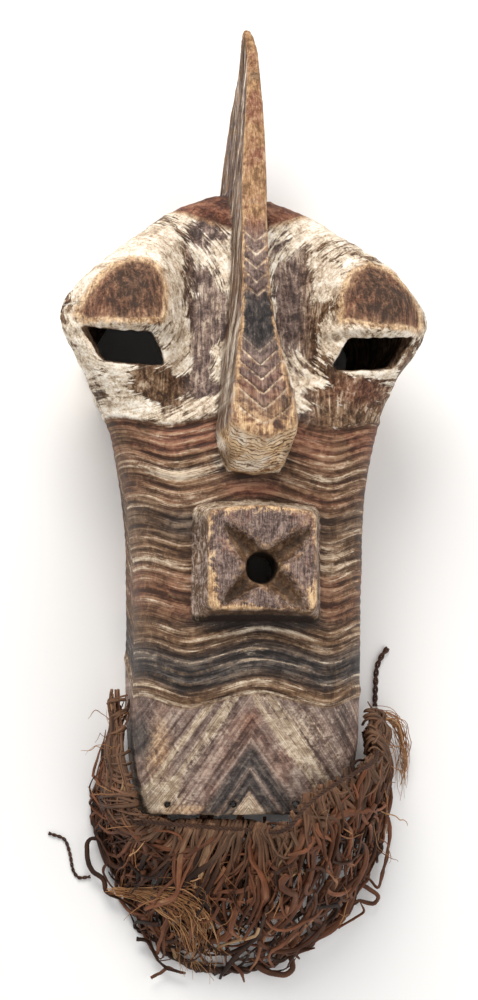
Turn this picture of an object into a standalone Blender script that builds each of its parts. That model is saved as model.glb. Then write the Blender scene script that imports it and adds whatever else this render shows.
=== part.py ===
"""A carved wooden face mask with a tall crest and a fibre beard, lying on its back rim.

Metres, +Z up. X runs across the face, Y from the beard to the crest, Z from the rim to the nose.
Levels (v) are measured along the face from the chin's lower edge.
"""

import math

import bmesh
import bpy
import numpy as np
from mathutils import Matrix, Vector

# The carved body: (level, half width where it is widest), then the same for the other shapes
BODY_TOP = 0.508
WIDEST = ((0.0, 0.080), (0.055, 0.0905), (0.110, 0.091), (0.170, 0.092), (0.235, 0.097),
          (0.300, 0.111), (0.345, 0.1255), (0.378, 0.1455), (0.390, 0.1485), (0.402, 0.1460),
          (0.414, 0.1385), (0.428, 0.1260), (0.4425, 0.1110), (0.4556, 0.0955), (0.4695, 0.0790),
          (0.483, 0.065), (0.4987, 0.0385), (BODY_TOP, 0.012))
WIDEST_HEIGHT = ((0.0, 0.070), (0.100, 0.080), (0.240, 0.086), (0.320, 0.108), (0.388, 0.134),
                 (0.440, 0.104), (BODY_TOP, 0.058))
FRONT_HEIGHT = ((0.0, 0.116), (0.050, 0.130), (0.098, 0.147), (0.170, 0.151), (0.260, 0.150),
                (0.340, 0.143), (0.400, 0.136), (0.450, 0.126), (0.485, 0.108), (BODY_TOP, 0.076))
RIM_TUCK = ((0.0, 0.001), (0.240, 0.003), (0.330, 0.014), (0.388, 0.027), (0.440, 0.016), (BODY_TOP, 0.002))
CENTRE_LINE = ((0.0, 0.0090), (0.170, 0.0085), (0.235, 0.0060), (0.290, 0.0030), (0.316, 0.0),
               (0.350, -0.0015), (0.375, -0.0005), (0.440, 0.0020), (BODY_TOP, 0.0015))
SIDE_SQUARENESS = 0.72
FRONT_SQUARENESS = 0.80
WALL = 0.013
CAVITY_TOP = 0.470
CAVITY_OVERRUN = 0.030

# The eyes: a bulge with an overhanging lid, and a slot under it
BROW_LEVEL = 0.377
BROW_STEP = 0.005
EYE_BULGE = 0.034
BULGE_BELOW_LID = 0.64
BULGE_INNER = (0.038, 0.079)
BULGE_OUTER = (0.112, 0.152)
BULGE_TOP = 0.500
BULGE_BOTTOM = 0.298
VALLEY_DEPTH = 0.011
VALLEY_AT = 0.044
VALLEY_HALF = 0.024
SLOT_CORNERS = ((0.078, 0.3735), (0.134, 0.3755), (0.116, 0.3480), (0.0655, 0.3455))
SLOT_FACE_Z = 0.160
SLOT_SLANT = 0.30
SLOT_TOP_Z = 0.200
SLOT_LOW_Z = 0.100

# The striped cheeks: rows of ridges that dip on each cheek and rise at the sides
STRIPES_FROM = 0.089
STRIPES_TO = 0.302
STRIPE_PITCH = 0.0082
GROOVE_DEPTH = 0.0018
CENTRE_RISE = 0.015
CENTRE_RISE_HALF = 0.042
SIDE_RISE = 0.014
WALL_RISE = 0.030
ZONE_STEP = 0.0022

# Nose and crest, one blade: (level, size)
NOSE_TIP = 0.286
NOSE_UNDERSIDE = 0.023
NOSE_FOOT = NOSE_TIP - NOSE_UNDERSIDE
NOSE_SWELL = NOSE_TIP - 0.5 * NOSE_UNDERSIDE
NOSE_WING = NOSE_TIP + 0.019
CREST_TOP = 0.638
BLADE_HALF = ((NOSE_FOOT, 0.0205), (NOSE_SWELL, 0.0250), (NOSE_TIP, 0.0270), (NOSE_WING, 0.0240),
              (0.340, 0.0178), (0.387, 0.0120), (0.430, 0.0104), (0.490, 0.0103), (0.525, 0.0092),
              (0.570, 0.0070), (0.610, 0.0052), (0.630, 0.0046), (CREST_TOP, 0.0028))
BLADE_FRONT = ((NOSE_FOOT, 0.156), (NOSE_SWELL, 0.186), (NOSE_TIP, 0.204), (NOSE_WING, 0.203),
               (0.340, 0.197), (0.387, 0.185), (0.430, 0.174), (0.490, 0.160), (0.570, 0.142),
               (0.610, 0.127), (0.630, 0.117), (CREST_TOP, 0.109))
BLADE_REAR = ((NOSE_FOOT, 0.105), (0.420, 0.094), (0.460, 0.056), (0.505, 0.048), (0.576, 0.062),
              (0.618, 0.088), (0.630, 0.098), (CREST_TOP, 0.105))
BLADE_SPREAD = ((NOSE_FOOT, 0.004), (0.340, 0.006), (0.430, 0.004), (0.490, 0.0), (CREST_TOP, -0.0006))
BLADE_LINE = ((NOSE_FOOT, 0.0030), (NOSE_WING, 0.0028), (0.355, 0.0005), (0.440, 0.0015), (0.490, 0.0030),
              (0.525, 0.0044), (0.570, 0.0060), (0.610, 0.0070), (CREST_TOP, 0.0045))
CREST_TURN = 0.03
EDGE_CUT = 0.0022
CREST_FLUTES = 3
FLUTE_DEPTH = 0.0014
FLUTES_FROM = 0.440
CHEVRON_PITCH = 0.011
CHEVRON_DEPTH = 0.0015
NOSE_CHEVRONS = (NOSE_TIP + 0.010, 5)
BROW_CHEVRONS = (0.382, 3)

# The mouth block, its star-shaped recess and its hole
MOUTH_AT = (0.0060, 0.1940)
MOUTH_HALF_WIDTH = 0.0425
MOUTH_HALF_HEIGHT = 0.0380
MOUTH_ARCH = 0.005
MOUTH_FRONT = 0.179
MOUTH_FOOT = 0.130
MOUTH_FLARE = 0.014
MOUTH_CORNER = 0.006
STAR_AT = (0.0066, 0.1895)
STAR_TIP = 0.0440
STAR_TIP_HALF = 0.0035
STAR_ARM_AT = 0.029
STAR_ARM_HALF = 0.0075
STAR_NOTCH = 0.0150
STAR_DEPTH = 0.015
STAR_FLOOR = 0.40
MOUTH_HOLE_RADIUS = 0.0122

# Lacing holes along the chin
HOLE_RADIUS = 0.003
HOLE_PITCH = 0.0505
HOLE_FIRST = -0.0575
HOLE_COUNT = 3
HOLE_LEVEL = 0.008
SIDE_HOLE_HEIGHTS = (0.030, 0.056)

# The beard of looped fibre: (share of the way round, x, y, z) at the rim, then on the ground
BEARD_INNER = ((0.00, -0.0842, 0.098, 0.050), (0.12, -0.0846, 0.045, 0.062), (0.22, -0.0790, 0.004, 0.074),
               (0.26, -0.0715, -0.0040, 0.083), (0.30, -0.0570, -0.0030, 0.090), (0.42, -0.0120, -0.0020, 0.097), (0.50, 0.0120, -0.0020, 0.098),
               (0.53, 0.0210, -0.0040, 0.108), (0.556, 0.0290, -0.0040, 0.1280), (0.60, 0.0400, 0.0140, 0.1365),
               (0.66, 0.0600, 0.0300, 0.1350), (0.72, 0.0810, 0.0390, 0.1250), (0.78, 0.1030, 0.0480, 0.1010),
               (0.86, 0.1085, 0.0680, 0.0780), (1.00, 0.1095, 0.0880, 0.0620))
BEARD_OUTER = ((0.00, -0.0950, 0.104, 0.012), (0.12, -0.0980, 0.052, 0.012), (0.22, -0.1040, 0.008, 0.010),
               (0.30, -0.0900, -0.037, 0.010), (0.36, -0.0680, -0.078, 0.010), (0.42, -0.0430, -0.108, 0.010),
               (0.50, 0.0060, -0.120, 0.010), (0.56, 0.0400, -0.120, 0.010), (0.60, 0.0640, -0.110, 0.010),
               (0.66, 0.0940, -0.087, 0.010), (0.72, 0.1180, -0.055, 0.010), (0.78, 0.1310, -0.016, 0.010),
               (0.86, 0.1350, 0.030, 0.012), (1.00, 0.1310, 0.078, 0.012))
BEARD_THICKNESS = 0.013
BEARD_LOCKS = 26
LOCK_RELIEF = 0.0020
BEARD_STEPS = 5
BEARD_DROOP = 1.7
CORD_SHARES = (0.26, 0.80)
CORD_OUT = 0.07
CORD_RADIUS = 0.003
HEM_SHARES = (0.25, 0.86)
HEM_RADIUS = 0.0045
CLEARANCE = 0.0006

# The two loose ends of twisted cord that lie on the ground: points (x, y), then the thickness
LEFT_END = ((-0.1085, -0.0520), (-0.1170, -0.0530), (-0.1225, -0.0470), (-0.1255, -0.0330),
            (-0.1300, -0.0215), (-0.1430, -0.0165))
RIGHT_END = ((0.1315, 0.0890), (0.1320, 0.1020), (0.1330, 0.1190), (0.1370, 0.1300), (0.1430, 0.1380))
LEFT_END_RADIUS = 0.0016
RIGHT_END_RADIUS = 0.0026

# How many faces a half section has: down the wall, and over the front
OUTER_STEPS = (2, 12)
CAVITY_STEPS = (1, 7)

COLOURS = {
    "wood": (0.20, 0.13, 0.085, 1.0),
    "fibre": (0.075, 0.036, 0.020, 1.0),
    "cord": (0.050, 0.026, 0.016, 1.0),
}


def curve_through(stations):
    """A smooth function through (level, value) stations that never overshoots them."""
    knots, values = (np.array(column, float) for column in zip(*stations))
    steps = np.diff(knots)
    rises = np.diff(values) / steps
    slopes = np.zeros(len(knots))
    slopes[0], slopes[-1] = rises[0], rises[-1]
    for i in range(1, len(knots) - 1):
        before, after = rises[i - 1], rises[i]
        if before * after > 0:
            slopes[i] = 2 * before * after / (before + after)

    def at(level):
        level = np.clip(level, knots[0], knots[-1])
        i = np.clip(np.searchsorted(knots, level, side="right") - 1, 0, len(steps) - 1)
        t = (level - knots[i]) / steps[i]
        start = (1 + 2 * t) * (1 - t) ** 2 * values[i] + t * (1 - t) ** 2 * steps[i] * slopes[i]
        end = t * t * (3 - 2 * t) * values[i + 1] - t * t * (1 - t) * steps[i] * slopes[i + 1]
        return start + end

    return at


def ease(low, high, value):
    """0 below low, 1 above high, smooth between."""
    t = np.clip((value - low) / (high - low), 0.0, 1.0)
    return t * t * (3 - 2 * t)


widest = curve_through(WIDEST)
widest_height = curve_through(WIDEST_HEIGHT)
front_height = curve_through(FRONT_HEIGHT)
rim_tuck = curve_through(RIM_TUCK)
centre_line = curve_through(CENTRE_LINE)
blade_half = curve_through(BLADE_HALF)
blade_front = curve_through(BLADE_FRONT)
blade_rear = curve_through(BLADE_REAR)
blade_spread = curve_through(BLADE_SPREAD)
blade_line = curve_through(BLADE_LINE)


def row_bend(across, down, level):
    """How far a stripe rises above its level: at the middle of the face, at its sides, and down the walls."""
    middle = np.exp(-((across * widest(level)) / CENTRE_RISE_HALF) ** 2)
    middle_share = ease(0.0, STRIPES_FROM, level) * (1 - ease(STRIPES_TO, BROW_LEVEL, level))
    side_share = ease(0.0, STRIPES_FROM, level) * (1 - ease(STRIPES_TO - 0.03, BROW_LEVEL - 0.02, level))
    side = SIDE_RISE * ease(0.55, 1.0, np.abs(across)) + WALL_RISE * down
    return CENTRE_RISE * middle * middle_share + side * side_share


def bulge_across(x):
    """The eye bulge from the valley beside the nose out to the side."""
    x = np.abs(x)
    return ease(*BULGE_INNER, x) * (1 - ease(*BULGE_OUTER, x))


def bulge_along(level):
    """The eye bulge from below the eye, over the step of the lid, up to the head's top."""
    below = BULGE_BELOW_LID * ease(BULGE_BOTTOM, BROW_LEVEL - BROW_STEP, level)
    lid = (1 - BULGE_BELOW_LID) * ease(BROW_LEVEL - BROW_STEP, BROW_LEVEL, level)
    rise = np.clip((level - BROW_LEVEL) / (BULGE_TOP - BROW_LEVEL), 0.0, 1.0)
    return (below + lid) * (1 - rise ** 1.5)


def valley(x, level):
    """The hollow between the nose and each eye."""
    beside = np.exp(-((np.abs(x) - VALLEY_AT) / VALLEY_HALF) ** 2)
    return VALLEY_DEPTH * beside * ease(STRIPES_TO, BROW_LEVEL - 0.02, level) * (1 - ease(0.43, BULGE_TOP, level))


def outer_relief(x, level):
    step = ZONE_STEP * ease(STRIPES_TO, STRIPES_TO + 0.005, level)
    return EYE_BULGE * bulge_across(x) * bulge_along(level) - valley(x, level) + step


def cavity_relief(x, level):
    """The inside follows the eye bulge, without the lid's step."""
    along = ease(BULGE_BOTTOM, BROW_LEVEL - 0.025, level) * (1 - ease(BROW_LEVEL + 0.02, BULGE_TOP, level))
    return EYE_BULGE * BULGE_BELOW_LID * bulge_across(x) * along - valley(x, level)


def half_section(level, inset, relief, groove, foot, steps):
    """Right half of the section at a level, from the rim up and in to the middle, as (x, y, z) points."""
    wall_steps, front_steps = steps
    shown = min(max(level, 0.0), BODY_TOP)
    ahead = min(shown + inset, BODY_TOP)
    width = min(widest(shown), widest(ahead)) - inset
    front = min(front_height(shown), front_height(ahead)) - inset
    wide_at = min(widest_height(shown), widest_height(ahead), front - 0.005)
    tuck = min(rim_tuck(shown), width * 0.5)
    points = []
    for step in range(wall_steps + 1):
        share = step / wall_steps
        x = width - tuck * math.cos(share * math.pi / 2)
        z = wide_at * share - foot * (1 - share)
        points.append((x - groove * share, 1.0, 1 - share, z))
    for step in range(1, front_steps + 1):
        angle = math.pi / 2 * step / front_steps
        across = abs(math.cos(angle)) ** SIDE_SQUARENESS if step < front_steps else 0.0
        x = width * across
        z = wide_at + (front - wide_at) * math.sin(angle) ** FRONT_SQUARENESS
        z += relief(x, level) * ease(0.0, 0.35, angle)
        points.append((x - groove * math.cos(angle), across, 0.0, z - groove * math.sin(angle)))
    return [(x, level + float(row_bend(across, down, level)), z) for x, across, down, z in points]


def ring_at(level, inset=0.0, relief=outer_relief, groove=0.0, foot=0.0, steps=OUTER_STEPS):
    """The closed section at a level: up the right side, over the face and down the left side."""
    right = half_section(level, inset, relief, groove, foot, steps)
    left = [(-x, y, z) for x, y, z in reversed(right[:-1])]
    middle = float(centre_line(level))
    return [(x + middle, y, z) for x, y, z in right + left]


def link(obj, collection):
    bpy.data.collections[collection].objects.link(obj)
    return obj


def object_from(bm, name, collection):
    bmesh.ops.recalc_face_normals(bm, faces=bm.faces)
    mesh = bpy.data.meshes.new(name)
    bm.to_mesh(mesh)
    bm.free()
    return link(bpy.data.objects.new(name, mesh), collection)


def loft(name, rings, collection):
    """A closed body through rings of equal length, each end closed by a fan."""
    bm = bmesh.new()
    made = [[bm.verts.new(point) for point in ring] for ring in rings]
    count = len(made[0])
    for low, high in zip(made, made[1:]):
        for i in range(count):
            j = (i + 1) % count
            bm.faces.new((low[i], low[j], high[j], high[i]))
    for ring in (made[0], made[-1]):
        middle = bm.verts.new(sum((v.co for v in ring), Vector()) / count)
        for i in range(count):
            bm.faces.new((ring[i], ring[(i + 1) % count], middle))
    bmesh.ops.triangulate(bm, faces=bm.faces)
    return object_from(bm, name, collection)


def boolean(target, other, operation):
    other.hide_render = True
    other.display_type = "WIRE"
    modifier = target.modifiers.new(f"{operation.lower()} {other.name}", "BOOLEAN")
    modifier.operation = operation
    modifier.solver = "EXACT"
    modifier.object = other


def body_levels():
    """Row levels: sparse on the chin, two to a stripe on the cheeks, close at the lid's step."""
    chin = np.linspace(0.0, STRIPES_FROM, 7)[:-1]
    stripe_rows = 2 * round((STRIPES_TO - STRIPES_FROM) / STRIPE_PITCH) + 1
    stripes = np.linspace(STRIPES_FROM, STRIPES_TO, stripe_rows)
    below = np.linspace(STRIPES_TO, BROW_LEVEL - BROW_STEP, 7)[1:]
    lid = np.linspace(BROW_LEVEL, BULGE_TOP, 11)
    return chin, stripes, below, lid, np.array([BODY_TOP])


def body_solid():
    chin, stripes, *above = body_levels()
    rings = [ring_at(level) for level in chin]
    rings += [ring_at(level, groove=GROOVE_DEPTH * (row % 2)) for row, level in enumerate(stripes)]
    rings += [ring_at(level) for levels in above for level in levels]
    return loft("mask", rings, "kifwebe mask")


def cavity_cutter():
    """The hollow behind the face, open at the back and at the chin."""
    levels = [-CAVITY_OVERRUN, *np.linspace(0.0, 0.300, 6), *np.linspace(0.325, CAVITY_TOP, 8)]
    rings = [ring_at(level, WALL, cavity_relief, foot=CAVITY_OVERRUN, steps=CAVITY_STEPS) for level in levels]
    return loft("cavity", rings, "cutters")


def chevron_rows():
    """Levels of the blade's rows on the chevrons, and which of them lie in a groove."""
    rows = {}
    for start, count in (NOSE_CHEVRONS, BROW_CHEVRONS):
        for step in range(2 * count + 1):
            rows[round(start + step * CHEVRON_PITCH / 2, 6)] = step % 2
    return rows


def blade_ring(level, groove):
    """Section of nose or crest: a flat front edge, fluted sides on the crest, and the rear edge."""
    half, front, rear = blade_half(level), blade_front(level), blade_rear(level)
    cut = min(EDGE_CUT, half * 0.5)
    slope = 0.15 + 0.25 * ease(NOSE_FOOT, NOSE_TIP, level) + 0.5 * ease(NOSE_TIP, 0.330, level)
    slope *= 1 - ease(0.44, 0.48, level)
    sunk = CHEVRON_DEPTH * groove
    points = [(0.0, 0.0, front + 0.0012 - sunk), (half * 0.55, half * 0.55, front + 0.0008 - sunk),
              (half - cut, half - cut, front - sunk), (half, half, front - cut)]
    flute = FLUTE_DEPTH * ease(FLUTES_FROM, FLUTES_FROM + 0.05, level) * min(1.0, half / 0.006)
    steps = 2 * CREST_FLUTES + 1
    for step in range(1, steps + 1):
        share = step / (steps + 1)
        x = half + blade_spread(level) * share - flute * (step % 2 == 0)
        points.append((x, half, front - cut + (rear + cut - front + cut) * share))
    points.append((half + blade_spread(level), half, rear + cut))
    points.append((half + blade_spread(level) - cut, half, rear))
    ring = [(x, level + slope * bend, z) for x, bend, z in points]
    ring += [(-x, y, z) for x, y, z in reversed(ring[1:])]
    turn = CREST_TURN * ease(0.42, 0.49, level)
    return [(x + blade_line(level) - turn * (front - z), y, z) for x, y, z in ring]


def blade_solid():
    grooves = chevron_rows()
    plain = [*np.linspace(NOSE_FOOT, NOSE_TIP, 5), 0.365, *np.linspace(0.435, 0.610, 8), 0.622, 0.632]
    rows = sorted([(float(level), 0) for level in plain] + list(grooves.items()))
    rings = [blade_ring(level, groove) for level, groove in rows + [(CREST_TOP, 0)]]
    return loft("blade", rings, "cutters")


def mouth_outline(grow):
    """A square with rounded corners and an arched top, grown by grow on each side."""
    wide, tall = MOUTH_HALF_WIDTH + grow, MOUTH_HALF_HEIGHT + grow
    points = []
    for corner, (sx, sy) in enumerate(((1, 1), (-1, 1), (-1, -1), (1, -1))):
        for step in range(3):
            angle = math.pi / 2 * (corner + step / 2)
            x = sx * (wide - MOUTH_CORNER) + MOUTH_CORNER * math.cos(angle)
            y = sy * (tall - MOUTH_CORNER) + MOUTH_CORNER * math.sin(angle)
            points.append((x, y))
        if corner == 0:
            points += [(wide * share, tall) for share in (0.5, 0.0, -0.5)]
    arch = [MOUTH_ARCH * (1 - (x / wide) ** 2) * (y > 0) for x, y in points]
    return [(x, y + lift) for (x, y), lift in zip(points, arch)]


def mouth_solid():
    edge = 0.0020
    heights = ((MOUTH_FOOT, MOUTH_FLARE), (MOUTH_FRONT - edge, 0.0), (MOUTH_FRONT, -edge))
    rings = [[(x + MOUTH_AT[0], y + MOUTH_AT[1], z) for x, y in mouth_outline(grow)] for z, grow in heights]
    return loft("mouth", rings, "cutters")


def star_cutter():
    """A four-armed star that narrows as it sinks towards the hole."""
    arm = ((STAR_NOTCH, 0.0), (STAR_ARM_AT, STAR_ARM_HALF), (STAR_TIP, STAR_TIP_HALF),
           (STAR_TIP, -STAR_TIP_HALF), (STAR_ARM_AT, -STAR_ARM_HALF))
    outline = []
    for number in range(4):
        diagonal = math.pi / 4 + math.pi / 2 * number
        along = Vector((math.cos(diagonal), math.sin(diagonal)))
        across = Vector((-along.y, along.x))
        notch = Vector((math.cos(diagonal + math.pi / 4), math.sin(diagonal + math.pi / 4)))
        for reach, aside in arm[:0:-1]:
            outline.append(along * reach + across * aside)
        outline.append(notch * STAR_NOTCH)
    rise = 0.002
    rings = []
    for z, share in ((rise, 1 + rise / STAR_DEPTH * (1 - STAR_FLOOR)), (-STAR_DEPTH, STAR_FLOOR)):
        rings.append([(STAR_AT[0] + p.x * share, STAR_AT[1] + p.y * share, MOUTH_FRONT + z) for p in outline])
    return loft("star", rings, "cutters")


def rod_cutter(name, start, end, radius, segments=14):
    """A cylinder from start to end."""
    bm = bmesh.new()
    axis = Vector(end) - Vector(start)
    turn = axis.to_track_quat("Z", "Y").to_matrix().to_4x4()
    place = Matrix.Translation((Vector(start) + Vector(end)) / 2) @ turn
    bmesh.ops.create_cone(bm, cap_ends=True, segments=segments, radius1=radius, radius2=radius,
                          depth=axis.length, matrix=place)
    return object_from(bm, name, "cutters")


def slot_cutter(side):
    """The slanting eye slot on one side, which rises as it goes in."""
    rings = []
    for z in (SLOT_LOW_Z, SLOT_TOP_Z):
        rise = SLOT_SLANT * (SLOT_FACE_Z - z)
        rings.append([(side * x, y + rise, z) for x, y in SLOT_CORNERS])
    return loft("slot_left" if side < 0 else "slot_right", rings, "cutters")


def face_height(x, level):
    """Height of the face at x, where the front is not yet the side wall."""
    across = min(abs(x - centre_line(level)) / widest(level), 1.0)
    angle = math.acos(across ** (1 / SIDE_SQUARENESS))
    low = widest_height(level)
    return low + (front_height(level) - low) * math.sin(angle) ** FRONT_SQUARENESS


def lacing_holes():
    """Holes through the chin's edge, and through each side wall near it."""
    cutters = []
    for number in range(HOLE_COUNT):
        x = HOLE_FIRST + HOLE_PITCH * number
        z = face_height(x, HOLE_LEVEL)
        cutters.append(rod_cutter(f"chin_hole_{number + 1}", (x, HOLE_LEVEL, z - 0.03),
                                  (x, HOLE_LEVEL, z + 0.02), HOLE_RADIUS, 10))
    for side, word in ((-1, "left"), (1, "right")):
        for number, z in enumerate(SIDE_HOLE_HEIGHTS):
            wall = side * widest(0.0) + centre_line(0.0)
            cutters.append(rod_cutter(f"{word}_hole_{number + 1}", (wall - 0.03, HOLE_LEVEL, z),
                                      (wall + 0.03, HOLE_LEVEL, z), HOLE_RADIUS, 10))
    return cutters


def build_mask():
    mask = body_solid()
    boolean(mask, blade_solid(), "UNION")
    boolean(mask, mouth_solid(), "UNION")
    boolean(mask, cavity_cutter(), "DIFFERENCE")
    boolean(mask, star_cutter(), "DIFFERENCE")
    boolean(mask, rod_cutter("mouth_hole", (*STAR_AT, 0.10), (*STAR_AT, 0.20), MOUTH_HOLE_RADIUS), "DIFFERENCE")
    for side in (-1, 1):
        boolean(mask, slot_cutter(side), "DIFFERENCE")
    for hole in lacing_holes():
        boolean(mask, hole, "DIFFERENCE")
    return mask


def round_curve(stations):
    """x, y and z as functions of the share of the way round."""
    return [curve_through([(row[0], row[axis]) for row in stations]) for axis in (1, 2, 3)]


beard_inner = round_curve(BEARD_INNER)
beard_outer = round_curve(BEARD_OUTER)


def beard_point(share, out):
    """A point on the middle of the beard: share of the way round, and out from the chin to the hem."""
    inner = [axis(share) for axis in beard_inner]
    outer = [axis(share) for axis in beard_outer]
    x = inner[0] + (outer[0] - inner[0]) * out
    y = inner[1] + (outer[1] - inner[1]) * out
    z = inner[2] + (outer[2] - inner[2]) * out ** BEARD_DROOP
    return x, y, z


def beard_ring(share, ridge):
    """Section of the beard from the chin to the hem, over the top and back underneath."""
    top, under = [], []
    for step in range(BEARD_STEPS + 1):
        out = step / BEARD_STEPS
        x, y, z = beard_point(share, out)
        thick = BEARD_THICKNESS * (0.7 + 0.3 * math.sin(math.pi * out)) + LOCK_RELIEF * ridge
        top.append((x, y, z + thick / 2))
        under.append((x, y, max(z - thick / 2, 0.0)))
    return top + under[::-1]


def build_beard():
    rings = []
    count = 2 * BEARD_LOCKS
    for row in range(count + 1):
        ridge = 1 if row % 2 else -1
        rings.append(beard_ring(row / count, ridge))
    return loft("beard", rings, "kifwebe mask")


def tube(name, points, radius, resolution=2):
    """A cord: a filled tube along a smooth curve through the points."""
    curve = bpy.data.curves.new(name, "CURVE")
    curve.dimensions = "3D"
    curve.bevel_depth = radius
    curve.bevel_resolution = resolution
    curve.use_fill_caps = True
    spline = curve.splines.new("POLY")
    spline.points.add(len(points) - 1)
    for point, place in zip(spline.points, points):
        point.co = (*place, 1.0)
    return link(bpy.data.objects.new(name, curve), "kifwebe mask")


def smooth_route(points, count):
    """Evenly spaced points on a smooth curve through the given ones."""
    points = np.array(points, float)
    lengths = np.concatenate([[0.0], np.cumsum(np.linalg.norm(np.diff(points, axis=0), axis=1))])
    axes = [curve_through(list(zip(lengths, points[:, axis]))) for axis in range(points.shape[1])]
    return [tuple(float(axis(t)) for axis in axes) for t in np.linspace(0.0, lengths[-1], count)]


def build_beard_cord():
    """The cord that carries the beard: under the chin's edge and up over the face's right corner."""
    points = []
    for share in np.linspace(*CORD_SHARES, 25):
        here = Vector(beard_point(share, CORD_OUT))
        round_step = Vector(beard_point(share + 0.004, CORD_OUT)) - Vector(beard_point(share - 0.004, CORD_OUT))
        outward_step = Vector(beard_point(share, CORD_OUT + 0.03)) - here
        normal = outward_step.cross(round_step).normalized()
        thick = BEARD_THICKNESS * 0.8 + LOCK_RELIEF
        top = here + Vector((0.0, 0.0, thick / 2))
        points.append(top + normal * (CORD_RADIUS + 3 * CLEARANCE))
    return tube("beard_cord", smooth_route(points, 40), CORD_RADIUS, 1)


def build_hem_cord():
    """The thick twisted hem that lies on the ground round the beard."""
    points = []
    for share in np.linspace(*HEM_SHARES, 25):
        x, y, _ = beard_point(share, 1.0)
        before, after = beard_point(share - 0.01, 1.0), beard_point(share + 0.01, 1.0)
        outward = Vector((after[1] - before[1], before[0] - after[0])).normalized()
        outward *= HEM_RADIUS + 2 * CLEARANCE
        points.append((x + outward.x, y + outward.y, HEM_RADIUS))
    return tube("hem_cord", smooth_route(points, 40), HEM_RADIUS, 1)


def build_loose_ends():
    """Two ends of twisted cord that lie free on the ground."""
    ends = []
    for name, points, radius in (("loose_end_left", LEFT_END, LEFT_END_RADIUS),
                                 ("loose_end_right", RIGHT_END, RIGHT_END_RADIUS)):
        route = smooth_route([(x, y, radius) for x, y in points], 24)
        ends.append(tube(name, route, radius))
    return ends


def paint(obj, name):
    material = bpy.data.materials.get(name) or bpy.data.materials.new(name)
    material.use_nodes = True
    shader = material.node_tree.nodes["Principled BSDF"]
    shader.inputs["Base Color"].default_value = COLOURS[name]
    shader.inputs["Roughness"].default_value = 0.75
    shader.inputs["Metallic"].default_value = 0.0
    obj.data.materials.append(material)


def centre_on_origin(measured):
    """Parents everything to one empty, and moves it so that the object's base is centred on the origin."""
    bpy.context.view_layer.update()
    graph = bpy.context.evaluated_depsgraph_get()
    corners = []
    for obj in measured:
        seen = obj.evaluated_get(graph)
        corners += [seen.matrix_world @ vert.co for vert in seen.to_mesh().vertices]
        seen.to_mesh_clear()
    low = Vector(map(min, zip(*corners)))
    high = Vector(map(max, zip(*corners)))
    frame = link(bpy.data.objects.new("frame", None), "kifwebe mask")
    for obj in list(bpy.data.objects):
        if obj is not frame:
            obj.parent = frame
    frame.location = (-(low.x + high.x) / 2, -(low.y + high.y) / 2, -low.z)


def main():
    for obj in list(bpy.data.objects):
        bpy.data.objects.remove(obj)
    for name in ("kifwebe mask", "cutters"):
        bpy.context.scene.collection.children.link(bpy.data.collections.new(name))
    mask = build_mask()
    beard = build_beard()
    cords = [build_beard_cord(), build_hem_cord()]
    ends = build_loose_ends()
    paint(mask, "wood")
    paint(beard, "fibre")
    for cord in cords + ends:
        paint(cord, "cord")
    centre_on_origin([mask, beard, *cords])


main()
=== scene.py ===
import math

import bmesh
import bpy
import numpy as np
from mathutils import Matrix, Vector


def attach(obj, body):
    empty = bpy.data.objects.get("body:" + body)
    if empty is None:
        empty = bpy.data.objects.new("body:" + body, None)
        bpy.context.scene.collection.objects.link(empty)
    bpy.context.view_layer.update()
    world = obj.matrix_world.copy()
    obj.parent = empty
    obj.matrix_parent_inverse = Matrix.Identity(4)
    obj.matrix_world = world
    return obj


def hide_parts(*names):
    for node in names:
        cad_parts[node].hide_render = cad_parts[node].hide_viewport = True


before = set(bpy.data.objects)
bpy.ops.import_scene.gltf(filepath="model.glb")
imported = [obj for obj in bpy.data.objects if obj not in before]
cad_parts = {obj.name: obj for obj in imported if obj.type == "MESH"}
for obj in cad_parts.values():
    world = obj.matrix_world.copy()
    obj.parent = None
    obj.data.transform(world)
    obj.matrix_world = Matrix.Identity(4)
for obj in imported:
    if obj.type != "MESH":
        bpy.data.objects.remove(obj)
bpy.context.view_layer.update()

rowShift = np.array([-0.000151, -0.2539, 0.0])  # from the mask's own coordinates to the row frame
randomSeed = 11


# Shapes that several pieces use

def curveThrough(stations):
    # a smooth function through (place, value) stations that never overshoots them
    knots, values = (np.array(column, float) for column in zip(*stations))
    steps = np.diff(knots)
    rises = np.diff(values) / steps
    slopes = np.zeros(len(knots))
    slopes[0], slopes[-1] = rises[0], rises[-1]
    for i in range(1, len(knots) - 1):
        before, after = rises[i - 1], rises[i]
        if before * after > 0:
            slopes[i] = 2 * before * after / (before + after)

    def at(place):
        place = np.clip(place, knots[0], knots[-1])
        i = np.clip(np.searchsorted(knots, place, side="right") - 1, 0, len(steps) - 1)
        t = (place - knots[i]) / steps[i]
        start = (1 + 2 * t) * (1 - t) ** 2 * values[i] + t * (1 - t) ** 2 * steps[i] * slopes[i]
        end = t * t * (3 - 2 * t) * values[i + 1] - t * t * (1 - t) * steps[i] * slopes[i + 1]
        return start + end

    return at


def ease(low, high, value):
    t = np.clip((value - low) / (high - low), 0.0, 1.0)
    return t * t * (3 - 2 * t)


def hashed(x, y, z, seed):
    n = (x * 374761393 + y * 668265263 + z * 1440662683 + seed * 1274126177) & 0x7FFFFFFF
    n = ((n ^ (n >> 13)) * 1274126177) & 0x7FFFFFFF
    return ((n ^ (n >> 16)) & 0xFFFF) / 65535.0


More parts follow.
